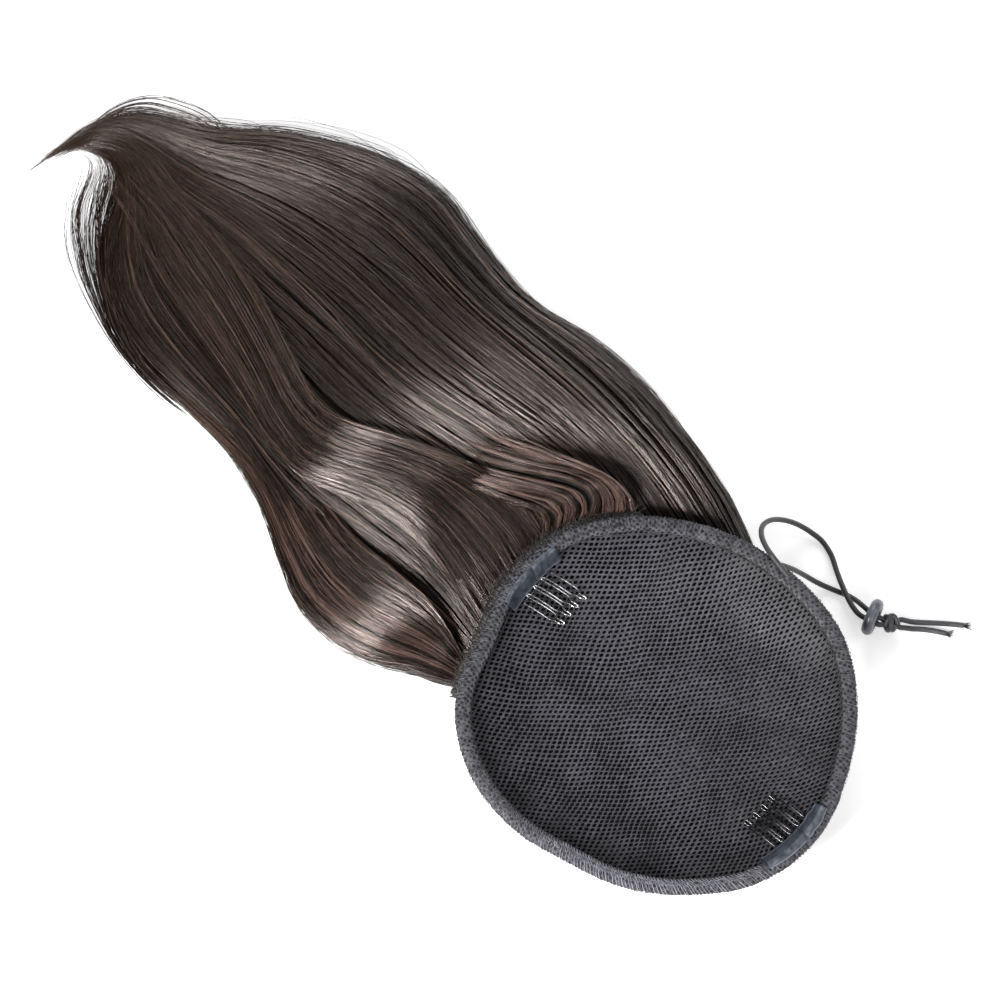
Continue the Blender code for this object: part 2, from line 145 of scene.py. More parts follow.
STRAIGHT_CORD = (
    (115.6, -27.9, 24.6), (118.0, -29.3, 24.5), (120.6, -29.9, 23.6), (123.4, -30.0, 21.2),
    (126.0, -29.9, 17.0), (128.4, -29.9, 12.4), (131.0, -30.2, 8.0), (134.0, -31.0, 4.2),
    (137.4, -32.1, 1.9), (140.6, -33.3, 1.15), (143.4, -34.5, 1.3), (146.2, -36.0, 2.4),
    (148.8, -38.1, 4.2), (151.2, -40.6, 6.0), (153.2, -42.7, 7.0), (155.1, -44.2, 7.1),
    (157.2, -45.1, 6.5), (161.0, -46.6, 4.8), (164.4, -47.9, 3.6), (166.4, -47.8, 2.3),
    (168.8, -47.9, 1.4), (172.0, -48.0, 1.1), (175.5, -48.4, 1.1), (178.6, -49.0, 1.1),
    (181.2, -49.6, 1.1))


def blend_weights(part):
    """Weights of the four neighbours in a smooth curve, at a part from 0 to 1."""
    square, cube = part * part, part ** 3
    return (0.5 * (2 * square - part - cube), 0.5 * (2 - 5 * square + 3 * cube),
            0.5 * (part + 4 * square - 3 * cube), 0.5 * (cube - square))


def smooth_route(rows, count):
    """Rows of numbers read at a count of even places along a smooth curve."""
    rows = np.array(rows, float)
    place = np.linspace(0, 1, count) * (len(rows) - 1)
    span = np.clip(place.astype(int), 0, len(rows) - 2)
    weights = blend_weights(place - span)
    picks = [rows[np.clip(span + step, 0, len(rows) - 1)] for step in (-1, 0, 1, 2)]
    return sum(weight[:, None] * pick for weight, pick in zip(weights, picks))


def sleeve(route, half_width, half_height, around, closed=False, up=(0, 0, 1)):
    """A skin round a route, in metres. Its UV, in metres, runs round it and along it.

    The half sizes are one number or one for each point. A size of 0 closes an end.
    """
    route = [Vector(point) for point in route]
    count = len(route)
    wide = np.broadcast_to(half_width, count)
    high = np.broadcast_to(half_height, count)
    steps = count if closed else count - 1
    bm = bmesh.new()
    uv = bm.loops.layers.uv.new("UVMap")
    bmesh.ops.create_grid(bm, x_segments=around, y_segments=steps, size=0.5, calc_uvs=True)
    length = sum((b - a).length for a, b in zip(route, route[1:]))
    girth = 2 * math.pi * float(max(wide.max(), high.max()))
    for face in bm.faces:
        for loop in face.loops:
            loop[uv].uv = (loop[uv].uv.x * girth, loop[uv].uv.y * length)
    sides = []
    for step in range(count):
        ahead = route[(step + 1) % count if closed else min(step + 1, count - 1)]
        behind = route[step - 1 if closed else max(step - 1, 0)]
        along_it = (ahead - behind).normalized()
        side = Vector(up).cross(along_it)
        if side.length < 0.05 and sides:
            side = sides[-1][0].copy()
        side.normalize()
        sides.append((side, along_it.cross(side).normalized()))
    for vert in bm.verts:
        turn = 2 * math.pi * (vert.co.x + 0.5)
        step = round((vert.co.y + 0.5) * steps) % count
        side, rise = sides[step]
        vert.co = (route[step] + side * (wide[step] * math.cos(turn))
                   + rise * (high[step] * math.sin(turn)))
    bmesh.ops.remove_doubles(bm, verts=bm.verts, dist=0.000002)
    return bm


def add_node(tree, kind, values=(), **settings):
    """A shader node with its settings, and then the values of its sockets."""
    node = tree.nodes.new("ShaderNode" + kind)
    for label, value in settings.items():
        setattr(node, label, value)
    for socket, value in dict(values).items():
        node.inputs[socket].default_value = value
    return node


def wire_up(tree, *links):
    """Links between nodes: each is a node, its output, the next node and its input."""
    for source, output, target, socket in links:
        tree.links.new(source.outputs[output], target.inputs[socket])


def add_relief(tree, shader, source, output, strength, depth):
    """Relief on a material, from one output of a node."""
    bump = add_node(tree, "Bump", {"Strength": strength, "Distance": depth})
    wire_up(tree, (source, output, bump, "Height"), (bump, "Normal", shader, "Normal"))


def placed(tree, group, values=()):
    """One use of an effect in a material."""
    return add_node(tree, "Group", values, node_tree=group)


NUMBER = "NodeSocketFloat"
COLOUR = "NodeSocketColor"


def effect_group(name, inputs, outputs):
    """An empty node group for one effect, with its named sockets, its start and its end."""
    group = bpy.data.node_groups.new(name, "ShaderNodeTree")
    for way, sockets in (("INPUT", inputs), ("OUTPUT", outputs)):
        for label, kind in sockets:
            group.interface.new_socket(label, in_out=way, socket_type=kind)
    return group, group.nodes.new("NodeGroupInput"), group.nodes.new("NodeGroupOutput")


def braid_group():
    """Crossing slanted threads on the UV: a height, and a mask of the gaps between them."""
    tree, start, end = effect_group("braided cover", (("Threads per metre", NUMBER),),
                                    (("Height", NUMBER), ("Gap", NUMBER)))
    uv_map = add_node(tree, "UVMap")
    split = add_node(tree, "SeparateXYZ")
    top = add_node(tree, "Math", operation="MAXIMUM")
    gap = add_node(tree, "MapRange", {"From Min": 0.3, "From Max": -0.6})
    for number, operation in enumerate(("ADD", "SUBTRACT")):
        slant = add_node(tree, "Math", operation=operation)
        scale = add_node(tree, "Math", operation="MULTIPLY")
        wave = add_node(tree, "Math", operation="SINE")
        wire_up(tree, (split, "X", slant, 0), (split, "Y", slant, 1), (slant, 0, scale, 0),
                (start, 0, scale, 1), (scale, 0, wave, 0), (wave, 0, top, number))
    wire_up(tree, (uv_map, "UV", split, 0), (top, 0, gap, "Value"),
            (top, 0, end, "Height"), (gap, 0, end, "Gap"))
    return tree


BRAID = braid_group()


def braided_material(name, colour, gap_colour, threads_per_metre, roughness, depth):
    """A braided or overcast cover, with its own colours and count of threads."""
    material, tree, shader = new_material(name, roughness)
    braid = placed(tree, BRAID, {"Threads per metre": threads_per_metre * 2 * math.pi})
    mix = add_node(tree, "Mix", {"A": (*colour, 1), "B": (*gap_colour, 1)}, data_type="RGBA")
    wire_up(tree, (braid, "Gap", mix, "Factor"), (mix, "Result", shader, "Base Color"))
    add_relief(tree, shader, braid, "Height", 0.6, depth)
    return material


elastic = braided_material("covered_elastic", (0.045, 0.045, 0.050), (0.010, 0.010, 0.011),
                           1500, 0.30, 0.00005)


def cord_radii(count, thin_end):
    """The cord's radius along it, rounded off at both ends."""
    radii = np.full(count, CORD_DIAMETER / 2 * MM)
    radii[0] = radii[-1] = 0
    radii[1] = radii[1] * 0.85
    radii[-2] = radii[-2] * thin_end
    return radii


cords = {}
for cord_name, rows, count in (("drawstring_loop", LOOP_CORD, 150),
                               ("drawstring_straight", STRAIGHT_CORD, 110)):
    points = smooth_route(rows, count) * MM
    ends = [points[0] - (points[1] - points[0]) * 0.1, points[-1] + (points[-1] - points[-2]) * 0.1]
    points = np.vstack([ends[0], points, ends[1]])
    thickness = cord_radii(len(points), 0.8)
    skin = sleeve(points, thickness, thickness, 12, up=CORD_UP)
    cords[cord_name] = (piece_from(skin, cord_name, elastic), points)

# Ring. A moulded rubber stopper, matt blue grey, gripping both legs of the cord.
RING_PLACE = (154.5, -45, 7.1)
RING_TURN = math.radians(-24)
RING_RADIUS = 4.75
RING_SECTION = 2.15
RING_STEPS = 56


def hand_over(piece, slot_name, *nodes):
    """Hides the nodes that a piece stands for, and attaches it to the body that it rides on; its
    slot is not used.
    """
    if nodes:
        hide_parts(*nodes)
    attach(piece, "root")


ring_rubber, tree, shader = new_material("ring_rubber", 0.30)
place = add_node(tree, "TexCoord")
grain = add_node(tree, "TexNoise", {"Scale": 900, "Detail": 4})
tint = add_node(tree, "Mix", {"A": (0.050, 0.055, 0.066, 1), "B": (0.125, 0.135, 0.160, 1)},
                data_type="RGBA")
wire_up(tree, (place, "Object", grain, "Vector"), (grain, "Fac", tint, "Factor"),
        (tint, "Result", shader, "Base Color"))
add_relief(tree, shader, grain, "Fac", 0.25, 0.0001)
ring_axis = Vector((math.cos(RING_TURN), math.sin(RING_TURN), 0))
ring_side = Vector((-ring_axis.y, ring_axis.x, 0))
ring_middle = Vector(RING_PLACE) * MM
ring_route = []
for step in range(RING_STEPS):
    turn = 2 * math.pi * step / RING_STEPS
    spoke = ring_side * math.cos(turn) + Vector((0, 0, math.sin(turn)))
    ring_route.append(ring_middle + spoke * RING_RADIUS * MM)
skin = sleeve(ring_route, RING_SECTION * MM, RING_SECTION * MM, 22, closed=True, up=ring_axis)
ring = piece_from(skin, "stopper_ring", ring_rubber)
hand_over(ring, "ring", "cord_ring")

# Knot. Both legs are tied together in one overhand knot: two turns round the legs, and a
# bight that crosses over them.
KNOT_PLACE = (160.7, -46.6, 4.6)
KNOT_AXIS = Vector((0.96, 0.05, -0.26)).normalized()
KNOT_TURNS = 1.85
KNOT_CORD_RADIUS = 0.98


def merge_into(bm, part):
    """Adds one unfinished mesh to another."""
    mesh = bpy.data.meshes.new("part")
    part.to_mesh(mesh)
    part.free()
    bm.from_mesh(mesh)
    bpy.data.meshes.remove(mesh)


knot_side = KNOT_AXIS.cross(Vector((0, 0, 1))).normalized()
knot_rise = knot_side.cross(KNOT_AXIS)
coil = []
for step in range(64):
    share = step / 63
    turn = 2 * math.pi * KNOT_TURNS * share + 2.2
    reach = 2.45 - 0.5 * abs(share - 0.5)
    coil.append(Vector(KNOT_PLACE) + KNOT_AXIS * (2.9 * (share - 0.5))
                + knot_side * (reach * 1.08 * math.cos(turn))
                + knot_rise * (reach * math.sin(turn)))
bight = []
for step in range(40):
    share = step / 39
    turn = math.pi * (0.12 + 0.82 * share)
    bight.append(Vector(KNOT_PLACE) + KNOT_AXIS * (2.5 * math.cos(turn) + 0.4)
                 + knot_side * (2.0 * math.cos(2.0 * turn) * 0.9 - 0.2)
                 + knot_rise * (0.4 + 2.3 * math.sin(turn)))
knot = bmesh.new()
for route in (coil, bight):
    radii = np.full(len(route), KNOT_CORD_RADIUS * MM)
    radii[0] = radii[-1] = 0
    merge_into(knot, sleeve([point * MM for point in route], radii, radii, 12, up=KNOT_AXIS))
knot = piece_from(knot, "drawstring_knot", elastic)
hand_over(knot, "cord", "cord_knot")

for cord_name, nodes_held in (("drawstring_loop", ("cord_loop_leg", "cord_tail_long")),
                              ("drawstring_straight", ("cord_straight_leg", "cord_tail_short"))):
    cord, points = cords[cord_name]
    hand_over(cord, "cord", *nodes_held)

# Net. The cap is a shallow dish of knitted nylon net, cut round and caught in the hem. Its
# holes are small slanting ovals. It lies slack, so it has soft dents and a few tight places.
CAP_CENTRE = (77, -82)
CAP_RADII = (71.6, 71.6, 69.2, 68.1, 68.3, 70.2, 71.6, 70.1, 68.0,
             72.2, 71.9, 69.1, 66.2, 68.0, 70.5, 74.4, 75.1, 72.5)
CAP_MEAN_RADIUS = 70
RIM_HEIGHT = 25
RISE_TOWARDS = (-0.75, 0.66)
RISE_PER_MM = 0.045
HEM_WIDTH = 6.2
HEM_THICKNESS = 3.2
NET_DEPTH = 12
NET_ROW_STEP = (1.93, 0.06)
NET_COLUMN_STEP = (0.66, 1.66)
NET_THREAD_DROP = 0.24
NET_HOLE = 0.86, 0.58
NET_COLUMNS = 118
NET_ROWS = 108
NET_EDGE_INSET = 2.4
NET_CALM_WIDTH = 14
NET_PULLS = ((0.06, 1.5), (0.9, 0.14))
NET_DENTS = ((0.045, 1.0), (0.16, 0.22))
NET_RISE_INTO_HEM = 1.2
HEM_CLEARANCE = 0.3
# Patches of painted shade on the net, where it lies double and in shade: picture x, picture y,
# reach in pixels, strength
PAINTED_SHADE_PATCHES = (
    (770, 824, 34, 0.6), (553, 600, 24, 0.3), (640, 868, 30, 0.5), (600, 856, 30, 0.45),
    (560, 836, 26, 0.45), (700, 870, 30, 0.5), (520, 800, 22, 0.4), (496, 766, 20, 0.35),
    (738, 858, 26, 0.5), (478, 722, 16, 0.3), (800, 770, 20, 0.35), (822, 712, 14, 0.35))


def cap_radius(angle):
    """Radius of the cap's outline, in millimetres, at angles in degrees."""
    count = len(CAP_RADII)
    place = np.mod(angle, 360) / 360 * count
    span = np.floor(place).astype(int)
    weights = blend_weights(place - span)
    radii = np.array(CAP_RADII)
    return sum(weight * radii[(span + step) % count]
               for weight, step in zip(weights, (-1, 0, 1, 2)))


def rim_height(x, y):
    """Height of the hem's middle: the rim lies tilted, in millimetres."""
    return RIM_HEIGHT + RISE_PER_MM * ((x - CAP_CENTRE[0]) * RISE_TOWARDS[0]
                                       + (y - CAP_CENTRE[1]) * RISE_TOWARDS[1])


def cap_polar(x, y):
    """Angle in degrees, distance from the cap's middle, and the outline's radius there."""
    angle = np.degrees(np.arctan2(y - CAP_CENTRE[1], x - CAP_CENTRE[0]))
    return angle, np.hypot(x - CAP_CENTRE[0], y - CAP_CENTRE[1]), cap_radius(angle)


def net_height(x, y):
    """Height of the net's upper face: a dish that rises to the underside of the hem."""
    angle, reach, radius = cap_polar(x, y)
    share = np.minimum(reach / (radius - HEM_WIDTH), 1)
    return rim_height(x, y) - HEM_THICKNESS / 2 - HEM_CLEARANCE - NET_DEPTH * (1 - share ** 3)


def cap_spot(angle, reach, rise):
    """A point of the cap in metres, by angle, distance from its middle and rise over its rim."""
    x = CAP_CENTRE[0] + reach * math.cos(math.radians(angle))
    y = CAP_CENTRE[1] + reach * math.sin(math.radians(angle))
    return Vector((x, y, rim_height(x, y) + rise)) * MM


def own_shade_group():
    """A colour made darker by the piece's shade attribute, from 0 to 1, which holds painted shade
    on the net, hem and stitches.
    """
    tree, start, end = effect_group("own shade", (("Colour", COLOUR),), (("Colour", COLOUR),))
    own = add_node(tree, "Attribute", attribute_name="shade")
    lit = add_node(tree, "Math", {0: 1}, operation="SUBTRACT")
    shaded = add_node(tree, "VectorMath", operation="SCALE")
    wire_up(tree, (own, "Fac", lit, 1), (start, "Colour", shaded, 0),
            (lit, "Value", shaded, "Scale"), (shaded, "Vector", end, "Colour"))
    return tree


def thread_group():
    """Nylon threads: a cloudy colour between dark and light, and the fine twist of the yarn."""
    tree, start, end = effect_group("nylon threads", (("Dark", COLOUR), ("Light", COLOUR)),
                                    (("Colour", COLOUR), ("Twist", NUMBER)))
    place = add_node(tree, "TexCoord")
    cloud = add_node(tree, "TexNoise", {"Scale": 700, "Detail": 4, "Roughness": 0.75})
    share = add_node(tree, "MapRange", {"From Min": 0.34, "From Max": 0.7})
    mix = add_node(tree, "Mix", data_type="RGBA")
    twist = add_node(tree, "TexNoise", {"Scale": 1900})
    wire_up(tree, (place, "Object", cloud, "Vector"), (cloud, "Fac", share, "Value"),
            (share, "Result", mix, "Factor"), (start, "Dark", mix, "A"), (start, "Light", mix, "B"),
            (mix, "Result", end, "Colour"), (place, "Object", twist, "Vector"),
            (twist, "Fac", end, "Twist"))
    return tree


OWN_SHADE = own_shade_group()
THREADS = thread_group()


def thread_material(name, dark, light, roughness):
    """Nylon thread of one colour range, each thread with its own shade."""
    material, tree, shader = new_material(name, roughness, specular=0.3)
    threads = placed(tree, THREADS, {"Dark": (*dark, 1), "Light": (*light, 1)})
    shaded = placed(tree, OWN_SHADE)
    wire_up(tree, (threads, "Colour", shaded, "Colour"), (shaded, "Colour", shader, "Base Color"))
    add_relief(tree, shader, threads, "Twist", 0.5, 0.00008)
    return material


def net_shade(x, y):
    """Painted shade on the net at a place: near the hem, growing over the right side of the dish,
    and in patches where it lies double and in shade.
    """
    angle, reach, radius = cap_polar(x, y)
    amount = 0.42 * math.exp(-max(radius - HEM_WIDTH - reach, 0) / 2.0)
    # Painted shade: the right side of the dish is made darker.
    amount += 0.48 * max(0, min(1, (x - CAP_CENTRE[0] + 8) / 60))
    for pixel_x, pixel_y, wide, strength in PAINTED_SHADE_PATCHES:
        middle = spot(pixel_x, pixel_y, 17)
        away = math.hypot(x - middle[0], y - middle[1]) / (wide * PIXEL)
        amount = max(amount, strength * max(0, 1 - away ** 3))
    return amount


net_nylon = thread_material("net_nylon", (0.031, 0.0305, 0.0375), (0.094, 0.092, 0.111), 0.5)
noise.seed_set(1)
row_step = Vector(NET_ROW_STEP)
column_step = Vector(NET_COLUMN_STEP)
bm = bmesh.new()
bmesh.ops.create_grid(bm, x_segments=NET_COLUMNS, y_segments=NET_ROWS, size=0.5)
outside = []
for vert in bm.verts:
    flat = row_step * (vert.co.x * NET_COLUMNS) + column_step * (vert.co.y * NET_ROWS)
    flat.y += 0.0011 * (flat.x + 30) ** 2 - 3
    x, y = flat.x + CAP_CENTRE[0], flat.y + CAP_CENTRE[1]
    angle, reach, radius = cap_polar(x, y)
    if reach > radius - NET_EDGE_INSET:
        outside.append(vert)
    here = Vector((x, y, 0))
    calm = max(0, min(1, (radius - reach) / NET_CALM_WIDTH))
    (slack, slack_size), (waver, waver_size) = NET_PULLS
    pull = (noise.noise_vector(here * slack) * slack_size * calm
            + noise.noise_vector(here * waver) * waver_size)
    x, y = x + pull.x, y + pull.y
    dents = sum(noise.noise(here * scale) * size for scale, size in NET_DENTS)
    sewn_in = max(0, min(1, (reach - radius + HEM_WIDTH - 0.4) / 1.6))
    underside = rim_height(x, y) - HEM_THICKNESS / 2 - HEM_CLEARANCE
    vert.co = (x, y, min(net_height(x, y), underside)
               + dents * calm - 0.4 + NET_RISE_INTO_HEM * sewn_in)
bmesh.ops.delete(bm, geom=outside, context="VERTS")
cells = list(bm.faces)
bmesh.ops.inset_individual(bm, faces=cells, thickness=0.4, depth=0)
bmesh.ops.bisect_edges(bm, edges=[edge for cell in cells for edge in cell.edges], cuts=1)
shade_of = {}
open_cells = []
for cell in cells:
    middle = cell.calc_center_median()
    shade = net_shade(middle.x, middle.y)
    across = (middle.x - CAP_CENTRE[0]) / CAP_MEAN_RADIUS
    tilt = math.radians(40 + 7 * across)
    along = Vector((math.cos(tilt), math.sin(tilt), 0))
    aside = Vector((-math.sin(tilt), math.cos(tilt), 0))
    loose = (1.04 + 0.2 * noise.noise(middle * 0.07) + 0.25 * noise.noise(middle * 1.7)
             - 0.45 * shade)
    long_half = NET_HOLE[0] * (1 + 0.10 * across) * min(loose, 1.2) ** 0.5
    short_half = NET_HOLE[1] * (1 - 0.10 * across) * min(loose, 1.25)
    for vert in cell.verts:
        out = vert.co - middle
        turn = math.atan2(out.dot(aside), out.dot(along))
        vert.co = (middle + along * (long_half * math.cos(turn))
                   + aside * (short_half * math.sin(turn)))
        vert.co.z -= NET_THREAD_DROP
        # Painted shade, deeper at the edge of each hole.
        shade_of[vert] = shade + 0.25
    angle, reach, radius = cap_polar(middle.x, middle.y)
    if short_half > 0.12 and reach < radius - HEM_WIDTH + 0.8:
        open_cells.append(cell)
bmesh.ops.delete(bm, geom=open_cells, context="FACES_ONLY")
shade_layer = bm.verts.layers.float.new("shade")
# Each point's shade: painted shade from net_shade and at the hole edges, less painted glints that
# lighten the threads here and there.
for vert in bm.verts:
    glint = max(0, noise.noise(vert.co * 2.3) - 0.3) * 1.6
    vert[shade_layer] = shade_of.get(vert, net_shade(vert.co.x, vert.co.y) - glint)
bmesh.ops.scale(bm, vec=(MM, MM, MM), verts=bm.verts)
net = piece_from(bm, "net_dish", net_nylon, 180)
hand_over(net, "net", "net_cap")
THREAD_CORNERS = 3


def many_threads(name, threads, material, slot_name):
    """Many thin threads as one piece.

    Each is its route and its radii, in metres, and a shade that its colour is read from.
    """
    routes, radii, shades = zip(*threads)
    outline = bpy.data.curves.new("thread_section", "CURVE")
    ring_spline = outline.splines.new("POLY")
    ring_spline.points.add(THREAD_CORNERS - 1)
    for step, point in enumerate(ring_spline.points):
        turn = -2 * math.pi * step / THREAD_CORNERS
        point.co = (math.cos(turn), math.sin(turn), 0, 1)
    ring_spline.use_cyclic_u = True
    section = bpy.data.objects.new("thread_section", outline)
    curve = bpy.data.curves.new(name, "CURVE")
    curve.dimensions = "3D"
    curve.bevel_mode = "OBJECT"
    curve.bevel_object = section
    for route, radius in zip(routes, radii):
        spline = curve.splines.new("POLY")
        spline.points.add(len(route) - 1)
        places = np.column_stack([np.array(route), np.ones(len(route))])
        spline.points.foreach_set("co", places.ravel())
        spline.points.foreach_set("radius", radius)
    swept = bpy.data.objects.new(name + "_swept", curve)
    bpy.context.scene.collection.objects.link(section)
    bpy.context.scene.collection.objects.link(swept)
    depsgraph = bpy.context.evaluated_depsgraph_get()
    mesh = bpy.data.meshes.new_from_object(swept.evaluated_get(depsgraph))
    bpy.data.objects.remove(swept)
    bpy.data.objects.remove(section)
    bpy.data.curves.remove(curve)
    bpy.data.curves.remove(outline)
    mesh.name = name
    mesh.materials.clear()
    mesh.materials.append(material)
    mesh.shade_smooth()
    points = [len(route) * THREAD_CORNERS for route in routes]
    along_it = [np.repeat(np.linspace(0, 1, len(route)), THREAD_CORNERS) for route in routes]
    for label, values in (("shade", np.repeat(shades, points)), ("down", np.concatenate(along_it))):
        mesh.attributes.new(label, "FLOAT", "POINT").data.foreach_set("value", values)
    piece = bpy.data.objects.new(name, mesh)
    bpy.context.scene.collection.objects.link(piece)
    hand_over(piece, slot_name)


# Hem. The net's edge is folded over the drawstring into a soft casing, and a cover stitch
# of paler thread runs round its edge. It has no smooth face: knitted loops show all over.
def knitted_cloth(name, colour):
    """Net folded double: rows of slanting pinholes read from its UV, and cloudy yarn."""
    material, tree, shader = new_material(name, 0.55)
    uv_map = add_node(tree, "UVMap")
    slant = add_node(tree, "Mapping", {"Rotation": (0, 0, 0.6), "Scale": (520, 620, 1)})
    holes = add_node(tree, "TexVoronoi", {"Scale": 1, "Randomness": 0.35})
    yarn = add_node(tree, "MapRange", {"From Min": 0.27, "From Max": 0.45})
    place = add_node(tree, "TexCoord")
    cloud = add_node(tree, "TexNoise", {"Scale": 420, "Detail": 5})
    share = add_node(tree, "MapRange", {"From Min": 0.35, "From Max": 0.65})
    mix = add_node(tree, "Mix", {"A": (*[0.45 * part for part in colour], 1), "B": (*colour, 1)},
                   data_type="RGBA")
    knitted = add_node(tree, "VectorMath", operation="SCALE")
    shaded = placed(tree, OWN_SHADE)
    wire_up(tree, (uv_map, "UV", slant, "Vector"), (slant, "Vector", holes, "Vector"),
            (holes, "Distance", yarn, "Value"), (place, "Object", cloud, "Vector"),
            (cloud, "Fac", share, "Value"), (share, "Result", mix, "Factor"),
            (mix, "Result", knitted, 0), (yarn, "Result", knitted, "Scale"),
            (knitted, "Vector", shaded, "Colour"), (shaded, "Colour", shader, "Base Color"))
    add_relief(tree, shader, yarn, "Result", 0.8, 0.0003)
    return material


hem_knit = knitted_cloth("hem_knit", (0.092, 0.090, 0.107))
HEM_STEPS = 330
HEM_NEAR_SIDE = (190, 300)
hem_route = []
hem_wide = []
hem_high = []
for step in range(HEM_STEPS):
    angle = 360 * step / HEM_STEPS
    around = Vector((math.cos(math.radians(angle)), math.sin(math.radians(angle)), 0))
    ruck = noise.noise(around * 9) * 0.3 + noise.noise(around * 38) * 0.28
    hem_route.append(cap_spot(angle, cap_radius(angle) - HEM_WIDTH / 2 + ruck * 0.5, 0.25 * ruck))
    hem_wide.append((HEM_WIDTH / 2 - 0.1 + 0.45 * ruck) * MM)
    hem_high.append((HEM_THICKNESS / 2 + 0.1 + 0.4 * noise.noise(around * 24)) * MM)
skin = sleeve(hem_route, hem_wide, hem_high, 20, closed=True)
# Painted shade on the hem: a dark line along the crease, a darker inner band on the near side and a
# dark outer edge, with some random mottling.
hem_shade = skin.verts.layers.float.new("shade")
for vert in skin.verts:
    angle, reach, radius = cap_polar(vert.co.x / MM, vert.co.y / MM)
    inward = (radius - float(reach)) / HEM_WIDTH
    begin, end = HEM_NEAR_SIDE
    low = 0
    if begin < angle % 360 < end:
        low = min((angle - begin) % 360 / 15, (end - angle) % 360 / 15, 1)
    crease = math.exp(-((inward - 0.62) / 0.07) ** 2) * (0.75 if 100 < angle % 360 < 185 else 0.3)
    if angle % 360 < 70 or angle % 360 > 310:
        crease = max(crease, 0.75 * math.exp(-((inward - 0.9) / 0.1) ** 2))
    edge = 0.5 * math.exp(-inward / 0.07)
    vert[hem_shade] = max(0, min(0.85, crease + 0.7 * low * max(0, inward - 0.5)
                                 + edge + 0.2 * noise.noise(vert.co * 300)))
hem = piece_from(skin, "hem_casing", hem_knit)
hand_over(hem, "hem", "rim_hem")

# Cover stitch: a slanting loop of thread over the hem's outer edge every 1.3 mm, and two
# rows of small knitted loops on top of the near half. Painted shade by side: the stitches are
# brightest along the near edge and darker round the far side and the right.
STITCH_PITCH = 1.3
HEM_MEAN_RADIUS = 69
# Painted shade on the stitches round the cap: angle in degrees, shade.
STITCH_PAINTED_SHADES = ((0, 0.72), (40, 0.66), (75, 0.70), (115, 0.80), (150, 0.80), (185, 0.70),
                 (215, 0.52), (240, 0.2), (262, 0.0), (290, 0.15), (312, 0.66), (360, 0.72))
SLANT_SHARES = ((0, -1.6), (60, -1.2), (115, 0.5), (180, 1.4), (240, 2.2), (300, 2.4),
                (330, 0), (360, -1.6))
STITCH_RADII = (0.1, 0.17, 0.2, 0.22, 0.2, 0.18, 0.1)
LOOP_SPAN = (200, 318)
LOOP_INSETS = (3.5, 4.9)
LOOP_BENDS = ((-0.75, -0.75, -0.2), (-0.7, 0.3, 0.1), (0, 0.85, 0.16), (0.7, 0.3, 0.1),
              (0.75, -0.75, -0.2))
LOOP_RADII = (0.12, 0.2, 0.22, 0.2, 0.12)
stitch_thread = thread_material("stitch_thread", (0.13, 0.13, 0.15), (0.40, 0.40, 0.46), 0.45)
threads = []
girth = 2 * math.pi * HEM_MEAN_RADIUS
stitch_count = int(girth / STITCH_PITCH)
dice = np.random.default_rng(41)
for number in range(stitch_count):
    angle = 360 * number / stitch_count
    slant = 360 * STITCH_PITCH * np.interp(angle, *zip(*SLANT_SHARES)) / girth
    jitter = dice.normal(0, 0.12)
    spread = HEM_WIDTH / 2 + 0.12 + dice.normal(0, 0.08)
    route = []
    for share in np.arange(len(STITCH_RADII)) / (len(STITCH_RADII) - 1):
        turn = math.radians(112 - 150 * share)
        reach = cap_radius(angle) - HEM_WIDTH / 2 + spread * math.cos(turn)
        rise = (HEM_THICKNESS / 2 + 0.2) * math.sin(turn)
        route.append(cap_spot(angle + jitter + slant * (share - 0.5) + dice.normal(0, 0.07),
                              reach, rise))
    radii = np.array(STITCH_RADII) * MM * dice.uniform(0.7, 1.15)
    shade = np.interp(angle, *zip(*STITCH_PAINTED_SHADES)) + dice.normal(0, 0.12)
    threads.append((route, radii, np.clip(shade, 0, 0.9)))
for number in range(2 * stitch_count):
    row = number % 2
    angle = 360 * (number // 2 + 0.5 * row) / stitch_count
    if not LOOP_SPAN[0] < angle < LOOP_SPAN[1]:
        continue
    wide = 360 * 0.5 * STITCH_PITCH / girth
    middle = cap_radius(angle) - LOOP_INSETS[row] + dice.normal(0, 0.12)
    outward = (middle - cap_radius(angle) + HEM_WIDTH / 2) / (HEM_WIDTH / 2)
    turn = math.acos(max(-1, min(1, outward)))
    top = HEM_THICKNESS / 2 * math.sin(turn) + 0.1
    lean = dice.normal(0, 0.25) + np.interp(angle, *zip(*SLANT_SHARES)) * 0.4
    route = [cap_spot(angle + wide * (side + lean * out) + dice.normal(0, 0.03), middle + out,
                      top + lift) for side, out, lift in LOOP_BENDS]
    radii = np.array(LOOP_RADII) * MM * dice.uniform(0.6, 1.1)
    shade = np.interp(angle, *zip(*STITCH_PAINTED_SHADES)) + 0.12 + dice.normal(0, 0.12)
    threads.append((route, radii, np.clip(shade, 0, 0.9)))
many_threads("hem_stitches", threads, stitch_thread, "hem")

# Weft. Under the hem's upper left runs the sewn edge of the hair weft: a dark band with an
# overcast of black thread, and short ends of hair that stand out of the sewing.
WEFT_ANGLES = (94, 178)
WEFT_RADIUS = 1.6
WEFT_OUTSET = 0.6
WEFT_DROP = 3.6
OVERCAST_STEP = 0.62
OVERCAST_RADIUS = 0.19
LOOSE_ENDS = 520
weft_cloth = braided_material("weft_cloth", (0.085, 0.078, 0.074), (0.010, 0.009, 0.009),
                              480, 0.7, 0.0004)
weft_thread = thread_material("weft_thread", (0.030, 0.027, 0.026), (0.16, 0.145, 0.135), 0.5)


def weft_spot(angle, turn, radius):
    """A point round the weft's band, by the cap's angle and the turn round the band."""
    reach = cap_radius(angle) + WEFT_OUTSET + radius * math.cos(turn)
    return cap_spot(angle, reach, -WEFT_DROP + radius * math.sin(turn))


